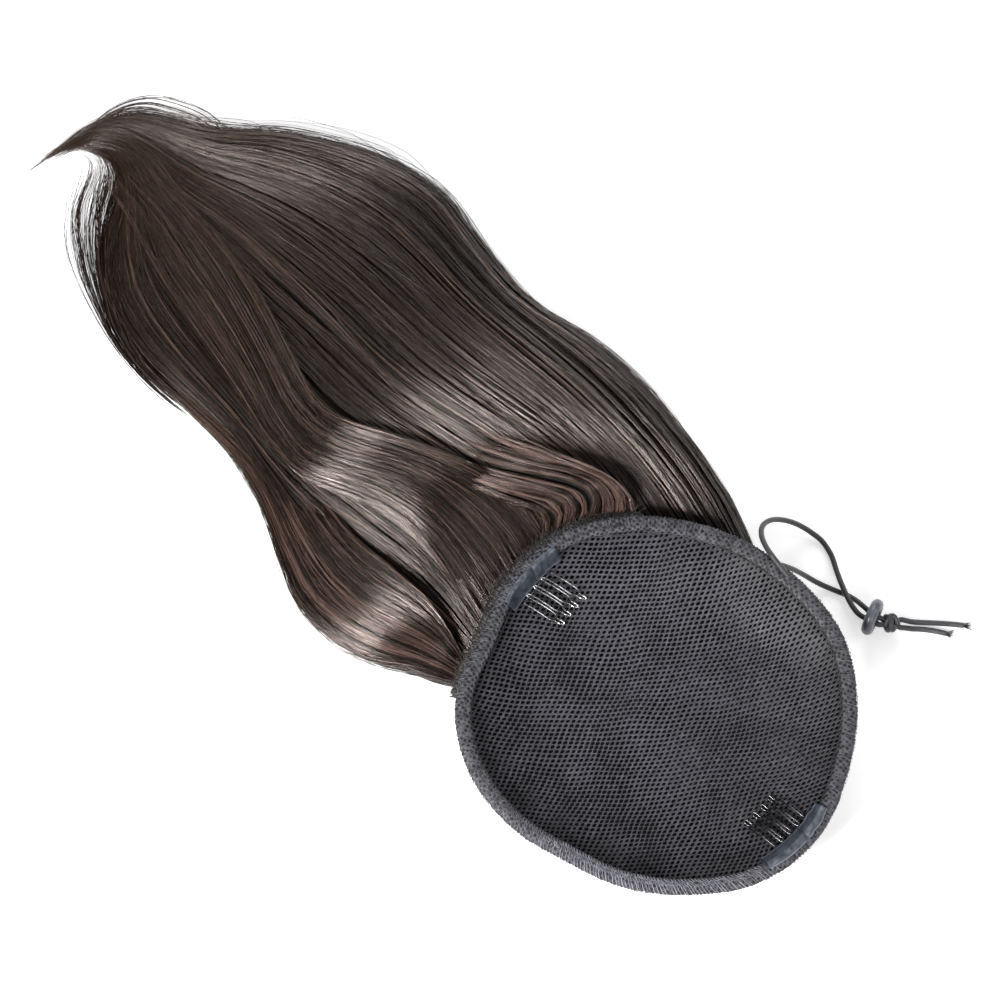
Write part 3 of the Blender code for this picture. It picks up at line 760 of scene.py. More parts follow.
weft_route = [weft_spot(angle, 0, 0) for angle in np.linspace(*WEFT_ANGLES, 90)]
weft_wide = [(WEFT_RADIUS - 0.15 + 0.15 * noise.noise(point * 400)) * MM for point in weft_route]
weft_wide[0] = weft_wide[-1] = 0
skin = sleeve(weft_route, weft_wide, weft_wide, 14)
weft = piece_from(skin, "weft_band", weft_cloth)
hand_over(weft, "weft", "weft_track")

threads = []
for angle in np.arange(WEFT_ANGLES[0] + 0.6, WEFT_ANGLES[1] - 0.6, OVERCAST_STEP):
    start = dice.uniform(0, 6.28)
    route = [weft_spot(angle + 1.1 * share + dice.normal(0, 0.05), start + 5.2 * share,
                       WEFT_RADIUS + 0.08) for share in np.linspace(0, 1, 9)]
    threads.append((route, np.full(len(route), OVERCAST_RADIUS * MM), dice.uniform(0, 0.6)))
for number in range(LOOSE_ENDS):
    angle = dice.uniform(WEFT_ANGLES[0] + 1, WEFT_ANGLES[1] - 1)
    turn = dice.uniform(-0.3, 1.5)
    root = weft_spot(angle, turn, WEFT_RADIUS - 0.2)
    out = Vector((math.cos(math.radians(angle)), math.sin(math.radians(angle)), 0))
    along = Vector((-out.y, out.x, 0))
    bend = (out * dice.uniform(0.2, 1.0) + along * dice.normal(0, 1.0)
            + Vector((0, 0, dice.uniform(0, 0.9)))) * MM * 1.3
    curl = Vector(dice.normal(0, 0.5, 3)) * MM
    route = [root + bend * share + curl * share ** 2 for share in (0, 0.5, 1, 1.5)]
    threads.append((route, np.array([0.09, 0.09, 0.07, 0.03]) * MM, dice.uniform(0, 0.7)))
many_threads("weft_overcast", threads, weft_thread, "weft")

# Combs. Each is one steel wire bent into four wide teeth whose tips are pinched, with a
# thin back wire along the roots. A blue-grey satin ribbon is sewn over the back.
COMB_TEETH = 4
COMB_WIRE = 0.7
BACK_WIRE_RADIUS = 0.2
TOOTH_LENGTH = 15.5
TOOTH_WIDTH = 2.9
TOOTH_GAP = 1.15
TOOTH_RISE = 1.2
COMB_ROOT_INSET = 3.1
COMB_LIFT = 0.3
COMB_BACK_OVERHANG = 1.6
TOOTH_ARCH_SHARE = 0.8
TOOTH_BENDS = (
    (0, 0), (0, 0.35), (0, 0.68), (0.28, 0.8), (0.28, 0.94), (0.5, 1),
    (0.72, 0.94), (0.72, 0.8), (1, 0.68), (1, 0.35), (1, 0))
RIBBON_THICKNESS = 0.5
# Each comb's steel is its wire's base colour: the lower comb's low value is painted shade.
COMBS = {
    "upper": {"node": "1", "steel": 0.72, "first_leg": 127.9, "reach": -27.7,
              "ribbon": (122.6, 146.0),
              "section": ((2.7, 2.0), (1.9, 1.9), (1.0, 1.5), (-0.3, 0.1), (-2.4, -2.85)),
              "crease": 0.42},
    "lower": {"node": "2", "steel": 0.14, "first_leg": 309.6, "reach": 140.3,
              "ribbon": (304.0, 328.0),
              "section": ((4.1, 2.0), (2.6, 2.0), (1.0, 1.5), (-0.3, 0.1), (-2.4, -2.85)),
              "crease": 0.6},
}


def draw_mark_group():
    """Drawn wire: its colour with fine dark marks of drawing."""
    tree, start, end = effect_group("draw marks", (("Steel", COLOUR),), (("Colour", COLOUR),))
    place = add_node(tree, "TexCoord")
    marks = add_node(tree, "TexNoise", {"Scale": 900, "Detail": 3})
    share = add_node(tree, "MapRange", {"From Min": 0.35, "From Max": 0.6, "To Min": 0.35})
    worn = add_node(tree, "VectorMath", operation="SCALE")
    wire_up(tree, (place, "Object", marks, "Vector"), (marks, "Fac", share, "Value"),
            (start, "Steel", worn, 0), (share, "Result", worn, "Scale"),
            (worn, "Vector", end, "Colour"))
    return tree


DRAW_MARKS = draw_mark_group()


def steel(name, base, roughness):
    """Drawn steel wire of a given base colour. The two combs use a lit copy and a copy darkened
    with painted shade.
    """
    material, tree, shader = new_material(name, roughness, metallic=1)
    marks = placed(tree, DRAW_MARKS, {"Steel": (base, base, 1.02 * base, 1)})
    wire_up(tree, (marks, "Colour", shader, "Base Color"))
    return material


def satin(name):
    """Blue-grey satin: fine ribs across its UV, cloudy wear, paler woven edges."""
    material, tree, shader = new_material(name, 0.42, specular=0.6)
    uv_map = add_node(tree, "UVMap")
    parts = add_node(tree, "SeparateXYZ")
    place = add_node(tree, "TexCoord")
    cloud = add_node(tree, "TexNoise", {"Scale": 330, "Detail": 6, "Roughness": 0.7})
    share = add_node(tree, "MapRange", {"From Min": 0.36, "From Max": 0.68})
    worn = add_node(tree, "Mix", {"A": (0.014, 0.018, 0.025, 1), "B": (0.066, 0.080, 0.102, 1)},
                    data_type="RGBA")
    edge = add_node(tree, "Math", {1: 0.5}, operation="PINGPONG")
    near = add_node(tree, "MapRange", {"From Min": 0.075, "From Max": 0.02})
    selvedge = add_node(tree, "Mix", {"B": (0.24, 0.26, 0.32, 1)}, data_type="RGBA")
    ribs = add_node(tree, "TexWave", {"Scale": 18, "Distortion": 1.5}, bands_direction="X")
    wire_up(tree, (uv_map, "UV", parts, "Vector"), (place, "Object", cloud, "Vector"),
            (cloud, "Fac", share, "Value"), (share, "Result", worn, "Factor"),
            (parts, "Y", edge, 0), (edge, "Value", near, "Value"),
            (near, "Result", selvedge, "Factor"), (worn, "Result", selvedge, "A"),
            (selvedge, "Result", shader, "Base Color"), (uv_map, "UV", ribs, "Vector"))
    add_relief(tree, shader, ribs, "Fac", 0.45, 0.0002)
    return material


def comb_spot(turn, share, reach, lift):
    """A point over the net, by the leg's angle and the share of the tooth's length."""
    root = cap_spot(turn, cap_radius(turn) - HEM_WIDTH - COMB_ROOT_INSET, 0) / MM
    x, y = root.x + reach.x * share, root.y + reach.y * share
    arch = TOOTH_RISE * math.sin(math.pi * min(max(share, 0) / TOOTH_ARCH_SHARE, 1))
    height = float(net_height(x, y)) + COMB_LIFT + COMB_WIRE / 2 + arch + lift
    return Vector((x, y, height)) * MM


ribbon_satin = satin("ribbon_satin")
for place_name, comb in COMBS.items():
    wire_steel = steel("steel_wire_" + place_name, comb["steel"], 0.24)
    heading = math.radians(comb["reach"])
    reach = Vector((math.cos(heading), math.sin(heading), 0)) * TOOTH_LENGTH
    root_radius = cap_radius(comb["first_leg"]) - HEM_WIDTH - COMB_ROOT_INSET
    bends = []
    for tooth in range(COMB_TEETH):
        for across, share in TOOTH_BENDS:
            side = tooth * (TOOTH_WIDTH + TOOTH_GAP) + across * TOOTH_WIDTH
            turn = comb["first_leg"] + math.degrees(side / root_radius)
            dip = -0.5 if 0.7 < share < 0.9 else 0
            bends.append(comb_spot(turn, share, reach, dip) / MM)
    route = smooth_route(bends, 300)
    wire_radius = COMB_WIRE / 2 * 0.92 * MM
    wire = sleeve([Vector(point) * MM for point in route], wire_radius, wire_radius, 8)
    last = comb["first_leg"] + math.degrees(
        (COMB_TEETH * TOOTH_WIDTH + (COMB_TEETH - 1) * TOOTH_GAP) / root_radius)
    back = [comb_spot(turn, 0.02, reach, 0.15 + 0.1 * math.sin(turn * 3)) for turn in
            np.linspace(comb["first_leg"] - COMB_BACK_OVERHANG, last + COMB_BACK_OVERHANG, 40)]
    merge_into(wire, sleeve(back, BACK_WIRE_RADIUS * MM, BACK_WIRE_RADIUS * MM, 6))
    wire = piece_from(wire, "comb_wire_" + place_name, wire_steel)
    hand_over(wire, "comb_wire", "comb_wire_" + comb["node"])

    bm = bmesh.new()
    bm.loops.layers.uv.new("UVMap")
    bmesh.ops.create_grid(bm, x_segments=64, y_segments=14, size=0.5, calc_uvs=True)
    outs, ups = zip(*comb["section"])
    for vert in bm.verts:
        along, across = vert.co.x + 0.5, vert.co.y + 0.5
        begin, end = comb["ribbon"]
        angle = begin + (end - begin) * along
        narrow = (1 - 0.18 * max(0, along - 0.85) / 0.15 - 0.12 * max(0, 0.08 - along) / 0.08
                  + 0.10 * noise.noise(Vector((along * 9, 3.3, heading))))
        place = 4 * (0.5 + (across - 0.5) * narrow)
        out = np.interp(place, range(5), outs)
        rise = np.interp(place, range(5), ups)
        crease = math.exp(-((along - comb["crease"] - 0.05 * (across - 0.5)) / 0.028) ** 2)
        pucker = noise.noise(Vector((along * 14, across * 2.5, heading))) * 0.32
        bulge = 0.5 * math.sin(math.pi * across)
        rise += RIBBON_THICKNESS * 0.6 + bulge + pucker - 0.75 * crease
        vert.co = cap_spot(angle, cap_radius(angle) - HEM_WIDTH + out, rise)
    ribbon = piece_from(bm, "comb_ribbon_" + place_name, ribbon_satin, 180)
    cloth = ribbon.modifiers.new("cloth", "SOLIDIFY")
    cloth.thickness = 0.35 * MM
    cloth.offset = -1
    hand_over(ribbon, "ribbon", "comb_ribbon_" + comb["node"])

# Frayed ends. The drawstring's free ends have opened into their threads, which flare out
# beyond the cut.
FRAY_COUNT = 46
FRAY_LENGTHS = (0.8, 3.0)
FRAY_RADII = (0.11, 0.11, 0.1, 0.08, 0.04)
FLOOR_GAP = 0.3
fray_thread = thread_material("fray_thread", (0.010, 0.010, 0.010), (0.10, 0.09, 0.08), 0.5)
threads = []
for cord, points in cords.values():
    end = Vector(points[-1])
    heading = (end - Vector(points[-3])).normalized()
    aside = heading.cross(Vector((0, 0, 1))).normalized()
    rise = aside.cross(heading)
    for number in range(FRAY_COUNT):
        turn = dice.uniform(0, 2 * math.pi)
        inner = math.sqrt(dice.uniform(0, 1)) * 0.85 * MM
        out = aside * math.cos(turn) + rise * math.sin(turn)
        reach = dice.uniform(*FRAY_LENGTHS) * MM
        flare = dice.uniform(0.1, 0.7) * reach
        route = []
        for share in (-0.4, 0, 0.4, 0.75, 1):
            point = end + heading * reach * share + out * (inner + flare * max(0, share) ** 1.7)
            point.z = max(point.z, FLOOR_GAP * MM)
            route.append(point)
        threads.append((route, np.array(FRAY_RADII) * MM, dice.uniform(0, 0.8)))
many_threads("drawstring_frays", threads, fray_thread, "cord")

# Hair body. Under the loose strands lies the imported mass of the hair: the main fall, the
# wave and the lobe over it, and a bed of hair under the net. Flow lines follow the picture
# from the rim to the tip: picture x, picture y, height of the hair's top in millimetres.
FALL_LINES = (
    ((757, 552, 12), (731, 497, 12), (690, 437, 12), (640, 378, 12), (588, 334, 11),
     (532, 300, 10), (486, 248, 10), (440, 188, 9), (375, 152, 8), (290, 132, 7),
     (215, 128, 6), (150, 114, 5), (100, 119, 4), (29, 167, 2)),
    ((722, 540, 17), (688, 482, 20), (646, 428, 23), (600, 380, 22), (550, 338, 21),
     (500, 298, 19), (455, 248, 18), (408, 200, 16), (350, 168, 14), (278, 146, 11),
     (208, 140, 9), (147, 122, 7), (99, 122, 5), (33, 164, 2)),
    ((680, 528, 17), (640, 470, 23), (596, 425, 27), (552, 384, 26), (505, 346, 25),
     (458, 306, 23), (415, 262, 21), (370, 222, 19), (315, 190, 16), (255, 168, 13),
     (200, 154, 10), (144, 130, 8), (98, 124, 6), (38, 161, 3)),
    ((630, 524, 17), (594, 470, 24), (552, 432, 29), (508, 400, 28), (462, 366, 27),
     (420, 330, 25), (380, 292, 23), (338, 255, 20), (290, 220, 17), (238, 192, 14),
     (190, 170, 11), (142, 138, 8), (98, 127, 6), (43, 158, 3)),
    ((585, 530, 17), (548, 478, 24), (508, 446, 29), (466, 418, 29), (424, 390, 28),
     (384, 358, 26), (346, 322, 23), (308, 286, 20), (264, 248, 17), (220, 212, 14),
     (178, 184, 11), (140, 146, 8), (98, 130, 6), (48, 156, 3)),
    ((545, 555, 17), (510, 505, 24), (470, 470, 30), (430, 442, 29), (388, 414, 28),
     (350, 384, 26), (315, 350, 23), (278, 314, 20), (238, 274, 17), (200, 234, 14),
     (167, 198, 11), (138, 155, 8), (99, 133, 6), (54, 153, 3)),
    ((508, 592, 17), (478, 548, 23), (440, 506, 29), (396, 474, 29), (352, 446, 27),
     (312, 416, 25), (276, 380, 22), (240, 340, 19), (205, 298, 16), (175, 256, 13),
     (154, 214, 11), (135, 165, 8), (101, 137, 6), (60, 151, 3)),
    ((484, 632, 17), (456, 590, 20), (420, 548, 20), (374, 512, 20), (326, 478, 19),
     (282, 444, 18), (246, 406, 17), (210, 364, 15), (176, 320, 12), (150, 276, 10),
     (138, 228, 9), (131, 175, 7), (103, 142, 5), (66, 149, 3)),
    ((470, 662, 14), (440, 640, 15), (398, 612, 15), (348, 574, 15), (304, 528, 14),
     (270, 478, 13), (240, 432, 12), (200, 390, 11), (158, 346, 10), (126, 296, 8),
     (118, 240, 7), (125, 184, 6), (105, 149, 5), (72, 147, 3)),
    ((460, 684, 9), (420, 672, 9), (366, 648, 9), (318, 610, 8), (286, 555, 8),
     (266, 496, 8), (240, 450, 7), (190, 402, 7), (140, 358, 6), (108, 306, 5),
     (100, 250, 4), (119, 192, 4), (110, 158, 4), (80, 146, 3)))
WAVE_LINES = (
    ((560, 545, 17), (530, 500, 25), (488, 468, 32), (440, 448, 33), (395, 432, 33),
     (350, 420, 31), (318, 396, 28), (294, 356, 25), (266, 300, 21), (232, 250, 17),
     (190, 205, 13), (140, 165, 9)),
    ((530, 568, 17), (500, 522, 24), (458, 486, 32), (412, 462, 33), (366, 448, 33),
     (324, 430, 31), (294, 398, 28), (270, 352, 25), (240, 298, 20), (208, 250, 16),
     (172, 206, 12), (130, 168, 9)),
    ((508, 592, 17), (478, 546, 23), (440, 506, 31), (398, 480, 33), (354, 466, 32),
     (312, 450, 30), (282, 412, 27), (258, 362, 23), (226, 308, 19), (194, 260, 15),
     (160, 212, 12), (122, 172, 9)),
    ((492, 616, 16), (464, 572, 22), (432, 528, 30), (392, 498, 31), (348, 480, 31),
     (304, 464, 29), (272, 424, 26), (246, 376, 22), (212, 322, 18), (178, 272, 14),
     (146, 222, 11), (114, 178, 8)),
    ((484, 634, 14), (458, 594, 19), (430, 552, 26), (396, 518, 28), (352, 494, 28),
     (304, 474, 27), (266, 436, 24), (236, 390, 20), (198, 338, 16), (162, 286, 12),
     (132, 232, 9), (106, 184, 7)))
LOBE_LINES = (
    ((463, 655, 16), (446, 622, 22), (424, 592, 23), (394, 566, 22), (362, 540, 20),
     (334, 508, 17), (308, 474, 14), (280, 440, 12), (248, 404, 10), (208, 362, 9)),
    ((462, 660, 15), (440, 632, 21), (412, 608, 23), (378, 588, 22), (346, 562, 20),
     (318, 526, 17), (294, 486, 14), (268, 450, 12), (232, 414, 10), (192, 370, 8)),
    ((460, 665, 14), (432, 642, 20), (398, 624, 22), (362, 604, 21), (330, 574, 18),
     (305, 536, 15), (282, 494, 13), (256, 456, 11), (218, 418, 9), (176, 376, 8)),
    ((458, 672, 12), (426, 654, 16), (388, 640, 18), (350, 620, 17), (316, 590, 15),
     (293, 548, 13), (273, 502, 11), (246, 460, 10), (206, 422, 8), (160, 380, 7)),
    ((456, 682, 9), (420, 668, 11), (376, 656, 12), (336, 636, 11), (302, 602, 10),
     (282, 556, 9), (264, 506, 9), (238, 460, 8), (196, 416, 7), (146, 370, 6)))
CURL_LINES = (
    ((640, 520, 20), (632, 496, 28), (616, 480, 31), (596, 468, 32), (570, 457, 31),
     (545, 445, 30), (515, 430, 29), (485, 412, 28)),
    ((606, 522, 20), (608, 500, 29), (596, 482, 33), (572, 472, 34), (544, 466, 34),
     (516, 458, 33), (488, 448, 31), (460, 434, 29)),
    ((582, 526, 20), (590, 506, 29), (582, 490, 33), (560, 481, 34), (534, 476, 34),
     (508, 470, 33), (482, 462, 31), (454, 450, 29)),
    ((560, 534, 20), (566, 514, 28), (558, 500, 32), (538, 494, 33), (514, 488, 33),
     (490, 480, 32), (464, 472, 30), (436, 462, 29)),
    ((540, 546, 20), (540, 524, 28), (530, 510, 31), (510, 502, 32), (488, 494, 32),
     (466, 486, 31), (442, 476, 30), (416, 466, 29)))

ROOM_UNDER_NET = 2.4
ROOM_UNDER_HEM = 3.4
RISE_PAST_HEM = 2.4
HEM_MARGIN = 0.6
LOCK_COUNT = 11


def flow_table(lines):
    """Flow lines as a table of points, in millimetres."""
    return np.array([[spot(*row) for row in line] for line in lines])


def flow(table, across, down):
    """Points on a sheet of flow lines, by share across it and share down it."""
    result = 0
    last = np.array(table.shape[:2]) - 1
    place_a, place_d = np.clip(across, 0, 1) * last[0], np.clip(down, 0, 1) * last[1]
    span_a = np.clip(place_a.astype(int), 0, last[0] - 1)
    span_d = np.clip(place_d.astype(int), 0, last[1] - 1)
    weights_a, weights_d = blend_weights(place_a - span_a), blend_weights(place_d - span_d)
    for weight_a, step_a in zip(weights_a, (-1, 0, 1, 2)):
        row = np.clip(span_a + step_a, 0, last[0])
        for weight_d, step_d in zip(weights_d, (-1, 0, 1, 2)):
            column = np.clip(span_d + step_d, 0, last[1])
            result = result + (weight_a * weight_d)[..., None] * table[row, column]
    return result


def ceiling(x, y):
    """How high hair may stand: below the net and the hem, and free outside them."""
    angle, reach, radius = cap_polar(x, y)
    under_net = net_height(x, y) - ROOM_UNDER_NET
    under_hem = rim_height(x, y) - ROOM_UNDER_HEM
    room = np.where(reach < radius - HEM_WIDTH, np.minimum(under_net, under_hem), under_hem)
    rising = under_hem + RISE_PAST_HEM * np.maximum(reach - radius - HEM_MARGIN, 0)
    return np.where(reach < radius + HEM_MARGIN, room, rising)


def hair_material(name, dark, light, roughness):
    """Dark brown hair: each strand has its own shade from dark to light, set lighter as a painted
    highlight where the hair shines, and warms a little towards its tip.
    """
    material, tree, shader = new_material(name, roughness, specular=0.8)
    shader.inputs["Specular Tint"].default_value = (1.0, 0.86, 0.80, 1)
    own = add_node(tree, "Attribute", attribute_name="shade")
    down = add_node(tree, "Attribute", attribute_name="down")
    ramp = add_node(tree, "ValToRGB")
    ramp.color_ramp.elements[0].color = (*dark, 1)
    ramp.color_ramp.elements[1].color = (*light, 1)
    middle = ramp.color_ramp.elements.new(0.7)
    middle.color = (*[0.76 * a + 0.24 * b for a, b in zip(dark, light)], 1)
    tip = add_node(tree, "MapRange", {"From Min": 0.6, "To Max": 0.8})
    warm = add_node(tree, "Mix", {"B": (0.034, 0.018, 0.010, 1)}, data_type="RGBA",
                    blend_type="ADD")
    dull = add_node(tree, "MapRange", {"From Max": 0.5, "To Min": roughness + 0.08,
                                       "To Max": roughness})
    wire_up(tree, (own, "Fac", ramp, "Fac"), (ramp, "Color", warm, "A"),
            (down, "Fac", tip, "Value"), (tip, "Result", warm, "Factor"),
            (warm, "Result", shader, "Base Color"), (own, "Fac", dull, "Value"),
            (dull, "Result", shader, "Roughness"))
    return material


def streak_group():
    """Packed hair: fine streaks down its UV, from near black to a light colour."""
    tree, start, end = effect_group("hair streaks", (("Light", COLOUR),),
                                    (("Colour", COLOUR), ("Height", NUMBER)))
    uv_map = add_node(tree, "UVMap")
    stretch = add_node(tree, "Mapping", {"Scale": (260, 5, 1)})
    streaks = add_node(tree, "TexNoise", {"Scale": 1, "Detail": 6, "Roughness": 0.7})
    share = add_node(tree, "MapRange", {"From Min": 0.3, "From Max": 0.75})
    mix = add_node(tree, "Mix", {"A": (0.002, 0.0015, 0.0015, 1)}, data_type="RGBA")
    wire_up(tree, (uv_map, "UV", stretch, "Vector"), (stretch, "Vector", streaks, "Vector"),
            (streaks, "Fac", share, "Value"), (share, "Result", mix, "Factor"),
            (start, "Light", mix, "B"), (mix, "Result", end, "Colour"),
            (streaks, "Fac", end, "Height"))
    return tree


HAIR_STREAKS = streak_group()


def packed_material(name, light, specular):
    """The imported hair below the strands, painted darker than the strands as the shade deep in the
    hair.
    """
    material, tree, shader = new_material(name, 0.5, specular=specular)
    streaks = placed(tree, HAIR_STREAKS, {"Light": (*light, 1)})
    wire_up(tree, (streaks, "Colour", shader, "Base Color"))
    add_relief(tree, shader, streaks, "Height", 0.8, 0.0006)
    return material


fall_flow, wave_flow, lobe_flow, curl_flow = [
    flow_table(lines) for lines in (FALL_LINES, WAVE_LINES, LOBE_LINES, CURL_LINES)]
# Painted shade: both are near black, and the bed under the net has little gloss, so that the net's
# holes read dark.
packed_hair = packed_material("packed_hair", (0.015, 0.010, 0.008), 0.5)
bed_of_hair = packed_material("bed_of_hair", (0.006, 0.004, 0.004), 0.15)


def bottom_of(bm):
    """Closes a sheet into a body. What comes back are the points of its lower face."""
    lowered = bmesh.ops.extrude_face_region(bm, geom=list(bm.faces))
    return [item for item in lowered["geom"] if isinstance(item, bmesh.types.BMVert)]


def packed_body(name, table, across, down, columns, rows, sunk, thickness):
    """A closed body below a sheet of flow lines: its top is sunk, and it is carried down."""
    bm = bmesh.new()
    bm.loops.layers.uv.new("UVMap")
    bmesh.ops.create_grid(bm, x_segments=columns, y_segments=rows, size=0.5, calc_uvs=True)
    co = np.array([vert.co for vert in bm.verts]) + 0.5
    places = flow(table, across[0] + (across[1] - across[0]) * co[:, 0],
                  down[0] + (down[1] - down[0]) * co[:, 1])
    locks = np.abs(np.sin(np.pi * LOCK_COUNT * co[:, 0] + 2 * np.sin(5 * co[:, 1])))
    edge = np.minimum(np.minimum(co[:, 0], 1 - co[:, 0]) / 0.1, 1)
    places[:, 2] = (places[:, 2] - sunk - 0.9 * (1 - locks)) * (0.55 + 0.45 * edge ** 0.5)
    places[:, 2] = np.minimum(places[:, 2], ceiling(places[:, 0], places[:, 1]) - 0.6)
    places[:, 2] = np.maximum(places[:, 2], 0.8)
    for vert, point in zip(bm.verts, places):
        vert.co = Vector(point) * MM
    for vert in bottom_of(bm):
        vert.co.z = max(vert.co.z - thickness * MM, FLOOR_GAP * MM)
    piece = piece_from(bm, name, packed_hair, 180)
    hand_over(piece, "hair")
    return piece


fall_body = packed_body("hair_fall_body", fall_flow, (0.015, 0.985), (0, 0.93), 76, 110, 1.5, 60)
packed_body("hair_wave_body", wave_flow, (0.03, 0.97), (0, 0.9), 50, 90, 1.4, 9)
packed_body("hair_lobe_body", lobe_flow, (0.03, 0.97), (0, 0.9), 50, 80, 1.3, 60)
packed_body("hair_curl_body", curl_flow, (0.05, 0.95), (0, 0.9), 36, 60, 1.5, 7)
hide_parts("hair")

# The bed: hair folded under the net, which the fall comes out of.
BED_INSET = 1.5
BED_FOOT_SHARE = 0.86
bm = bmesh.new()
bm.loops.layers.uv.new("UVMap")
bmesh.ops.create_grid(bm, x_segments=90, y_segments=36, size=0.5, calc_uvs=True)
for vert in bm.verts:
    angle = 360 * (vert.co.x + 0.5)
    share = vert.co.y + 0.5
    point = cap_spot(angle, (cap_radius(angle) - BED_INSET) * share, 0)
    top = float(ceiling(point.x / MM, point.y / MM)) - 0.3
    vert.co = (point.x, point.y, top * MM)
bmesh.ops.remove_doubles(bm, verts=bm.verts, dist=0.00001)
middle = Vector((CAP_CENTRE[0] * MM, CAP_CENTRE[1] * MM, 0))
for vert in bottom_of(bm):
    vert.co = middle + (vert.co - middle) * BED_FOOT_SHARE
    vert.co.z = 0.0004
hand_over(piece_from(bm, "hair_bed", bed_of_hair, 180), "hair")

# Loose strands. Bundles of about a dozen hairs lie side by side in locks, follow the flow
# lines, wander a little, and taper to their tips.
hair_strand = hair_material("dark_brown_hair", (0.0022, 0.0014, 0.0013), (0.136, 0.084, 0.068),
                            0.21)


def comb_out(table, count, locks, points, seed, lock_width, clumps, start=(0, 0.02),
             end=(0.8, 1.0), depth=0.5, ridge=0.9, stray=0.4, radius=(0.12, 0.19), tone_and_sheen=0.3,
             own=1, crowd=1):
    """Strands on one sheet of flow lines, in metres: a few hairs to a clump, clumps to a lock."""
    dice = np.random.default_rng(seed)
    lock_place = ((np.arange(locks) + dice.uniform(0.1, 0.9, locks)) / locks) ** crowd
    clump = dice.integers(0, clumps, count)
    lock = dice.integers(0, locks, clumps)[clump]
    off = np.clip(dice.normal(0, 0.6, clumps), -1.3, 1.3)[clump]
    share = np.linspace(0, 1, points)[None, :]
    begin = dice.uniform(*start, count)[:, None]
    finish = dice.uniform(*end, count)[:, None]
    down = begin + (finish - begin) * share
    sway = dice.uniform(0, 2 * np.pi, (3, locks, 1))[:, lock]
    drift = (0.5 * np.sin(2 * np.pi * 1.1 * down + sway[0])
             + 0.3 * np.sin(5.4 * np.pi * down + sway[1]))
    gather = 1 - 0.35 * np.sin(2 * np.pi * 1.3 * down + sway[2]) ** 2
    turn = dice.uniform(0, 2 * np.pi, (3, clumps, 1))[:, clump]
    wander = np.sin(3.4 * np.pi * down + turn[0]) + 0.5 * np.sin(8.6 * np.pi * down + turn[1])
    phase = dice.uniform(0, 2 * np.pi, (2, count, 1))
    quiver = np.sin(5 * np.pi * down + phase[0]) + 0.6 * np.sin(13 * np.pi * down + phase[1])
    width = np.linalg.norm(table[0, :, :2] - table[-1, :, :2], axis=1).mean()
    loose = own * (0.14 + 0.22 * np.sin(4.2 * np.pi * down + turn[2]) ** 2)
    u = (lock_place[lock][:, None] + off[:, None] * lock_width * gather
         + drift * lock_width * 0.25 + wander * lock_width * 0.16
         + (dice.normal(0, 1, count)[:, None] + 0.5 * quiver) * loose / width)
    u = np.abs(u)
    u = 1 - np.abs(1 - u)
    routes = flow(table, u, down)
    lift = (ridge * (1 - np.minimum(off ** 2, 1.5)) + dice.normal(0, 0.45, clumps)[clump]
            - dice.exponential(depth, count) * 0.6 + dice.normal(0, 0.3, locks)[lock])
    top = routes[..., 2]
    rim = np.clip(1 - np.minimum(u, 1 - u) / 0.05, 0, 1)
    sink = dice.uniform(0, 1, count)[:, None] ** 0.7
    routes[..., 2] = top + lift[:, None] + wander * 0.2 + quiver * 0.1 - rim * sink * (top - 0.8)
    routes[..., 0] += dice.normal(0, stray, (count, 1)) * share ** 1.5
    routes[..., 1] += dice.normal(0, stray, (count, 1)) * share ** 1.5
    routes[..., 2] = np.minimum(routes[..., 2], ceiling(routes[..., 0], routes[..., 1]))
    routes[..., 2] = np.maximum(routes[..., 2], 0.3)
    thick = dice.uniform(*radius, count)[:, None]
    taper = np.clip(share / 0.03, 0.5, 1) * np.clip((1 - share) / 0.3, 0.12, 1) ** 0.6
    shades = (tone_and_sheen + dice.normal(0, 0.13, count) + dice.normal(0, 0.30, clumps)[clump]
              + dice.normal(0, 0.1, locks)[lock])
    return routes * MM, thick * taper * MM, np.clip(shades, 0, 1)


def strand_piece(name, *groups):
    """One piece of hair from one or more groups of strands."""
    threads = [thread for group in groups for thread in zip(*group)]
    many_threads(name, threads, hair_strand, "hair")


# Each layer's tone_and_sheen sets how light its strands are: the wave, lobe and curl are set
# lighter as a painted highlight where the hair shines.
strand_piece("hair_fall_strands",
             comb_out(fall_flow, 1350, 60, 16, 3, 0.016, 280, end=(0.76, 0.97), depth=1.6,
                      tone_and_sheen=0.10))
strand_piece("hair_fall_strands_over",
             comb_out(fall_flow, 1850, 70, 18, 4, 0.011, 330, end=(0.74, 0.99), depth=0.3,
                      ridge=1.2, tone_and_sheen=0.20))
strand_piece("hair_wave_strands",
             comb_out(wave_flow, 1350, 30, 15, 5, 0.034, 150, end=(0.55, 1.0), tone_and_sheen=0.40))
strand_piece("hair_lobe_strands",
             comb_out(lobe_flow, 1050, 26, 15, 6, 0.036, 140, end=(0.7, 1.0), tone_and_sheen=0.70))
strand_piece("hair_curl_strands",
             comb_out(curl_flow, 560, 14, 14, 7, 0.06, 70, end=(0.6, 1.0), depth=0.4, ridge=1.2,
                      tone_and_sheen=0.9))

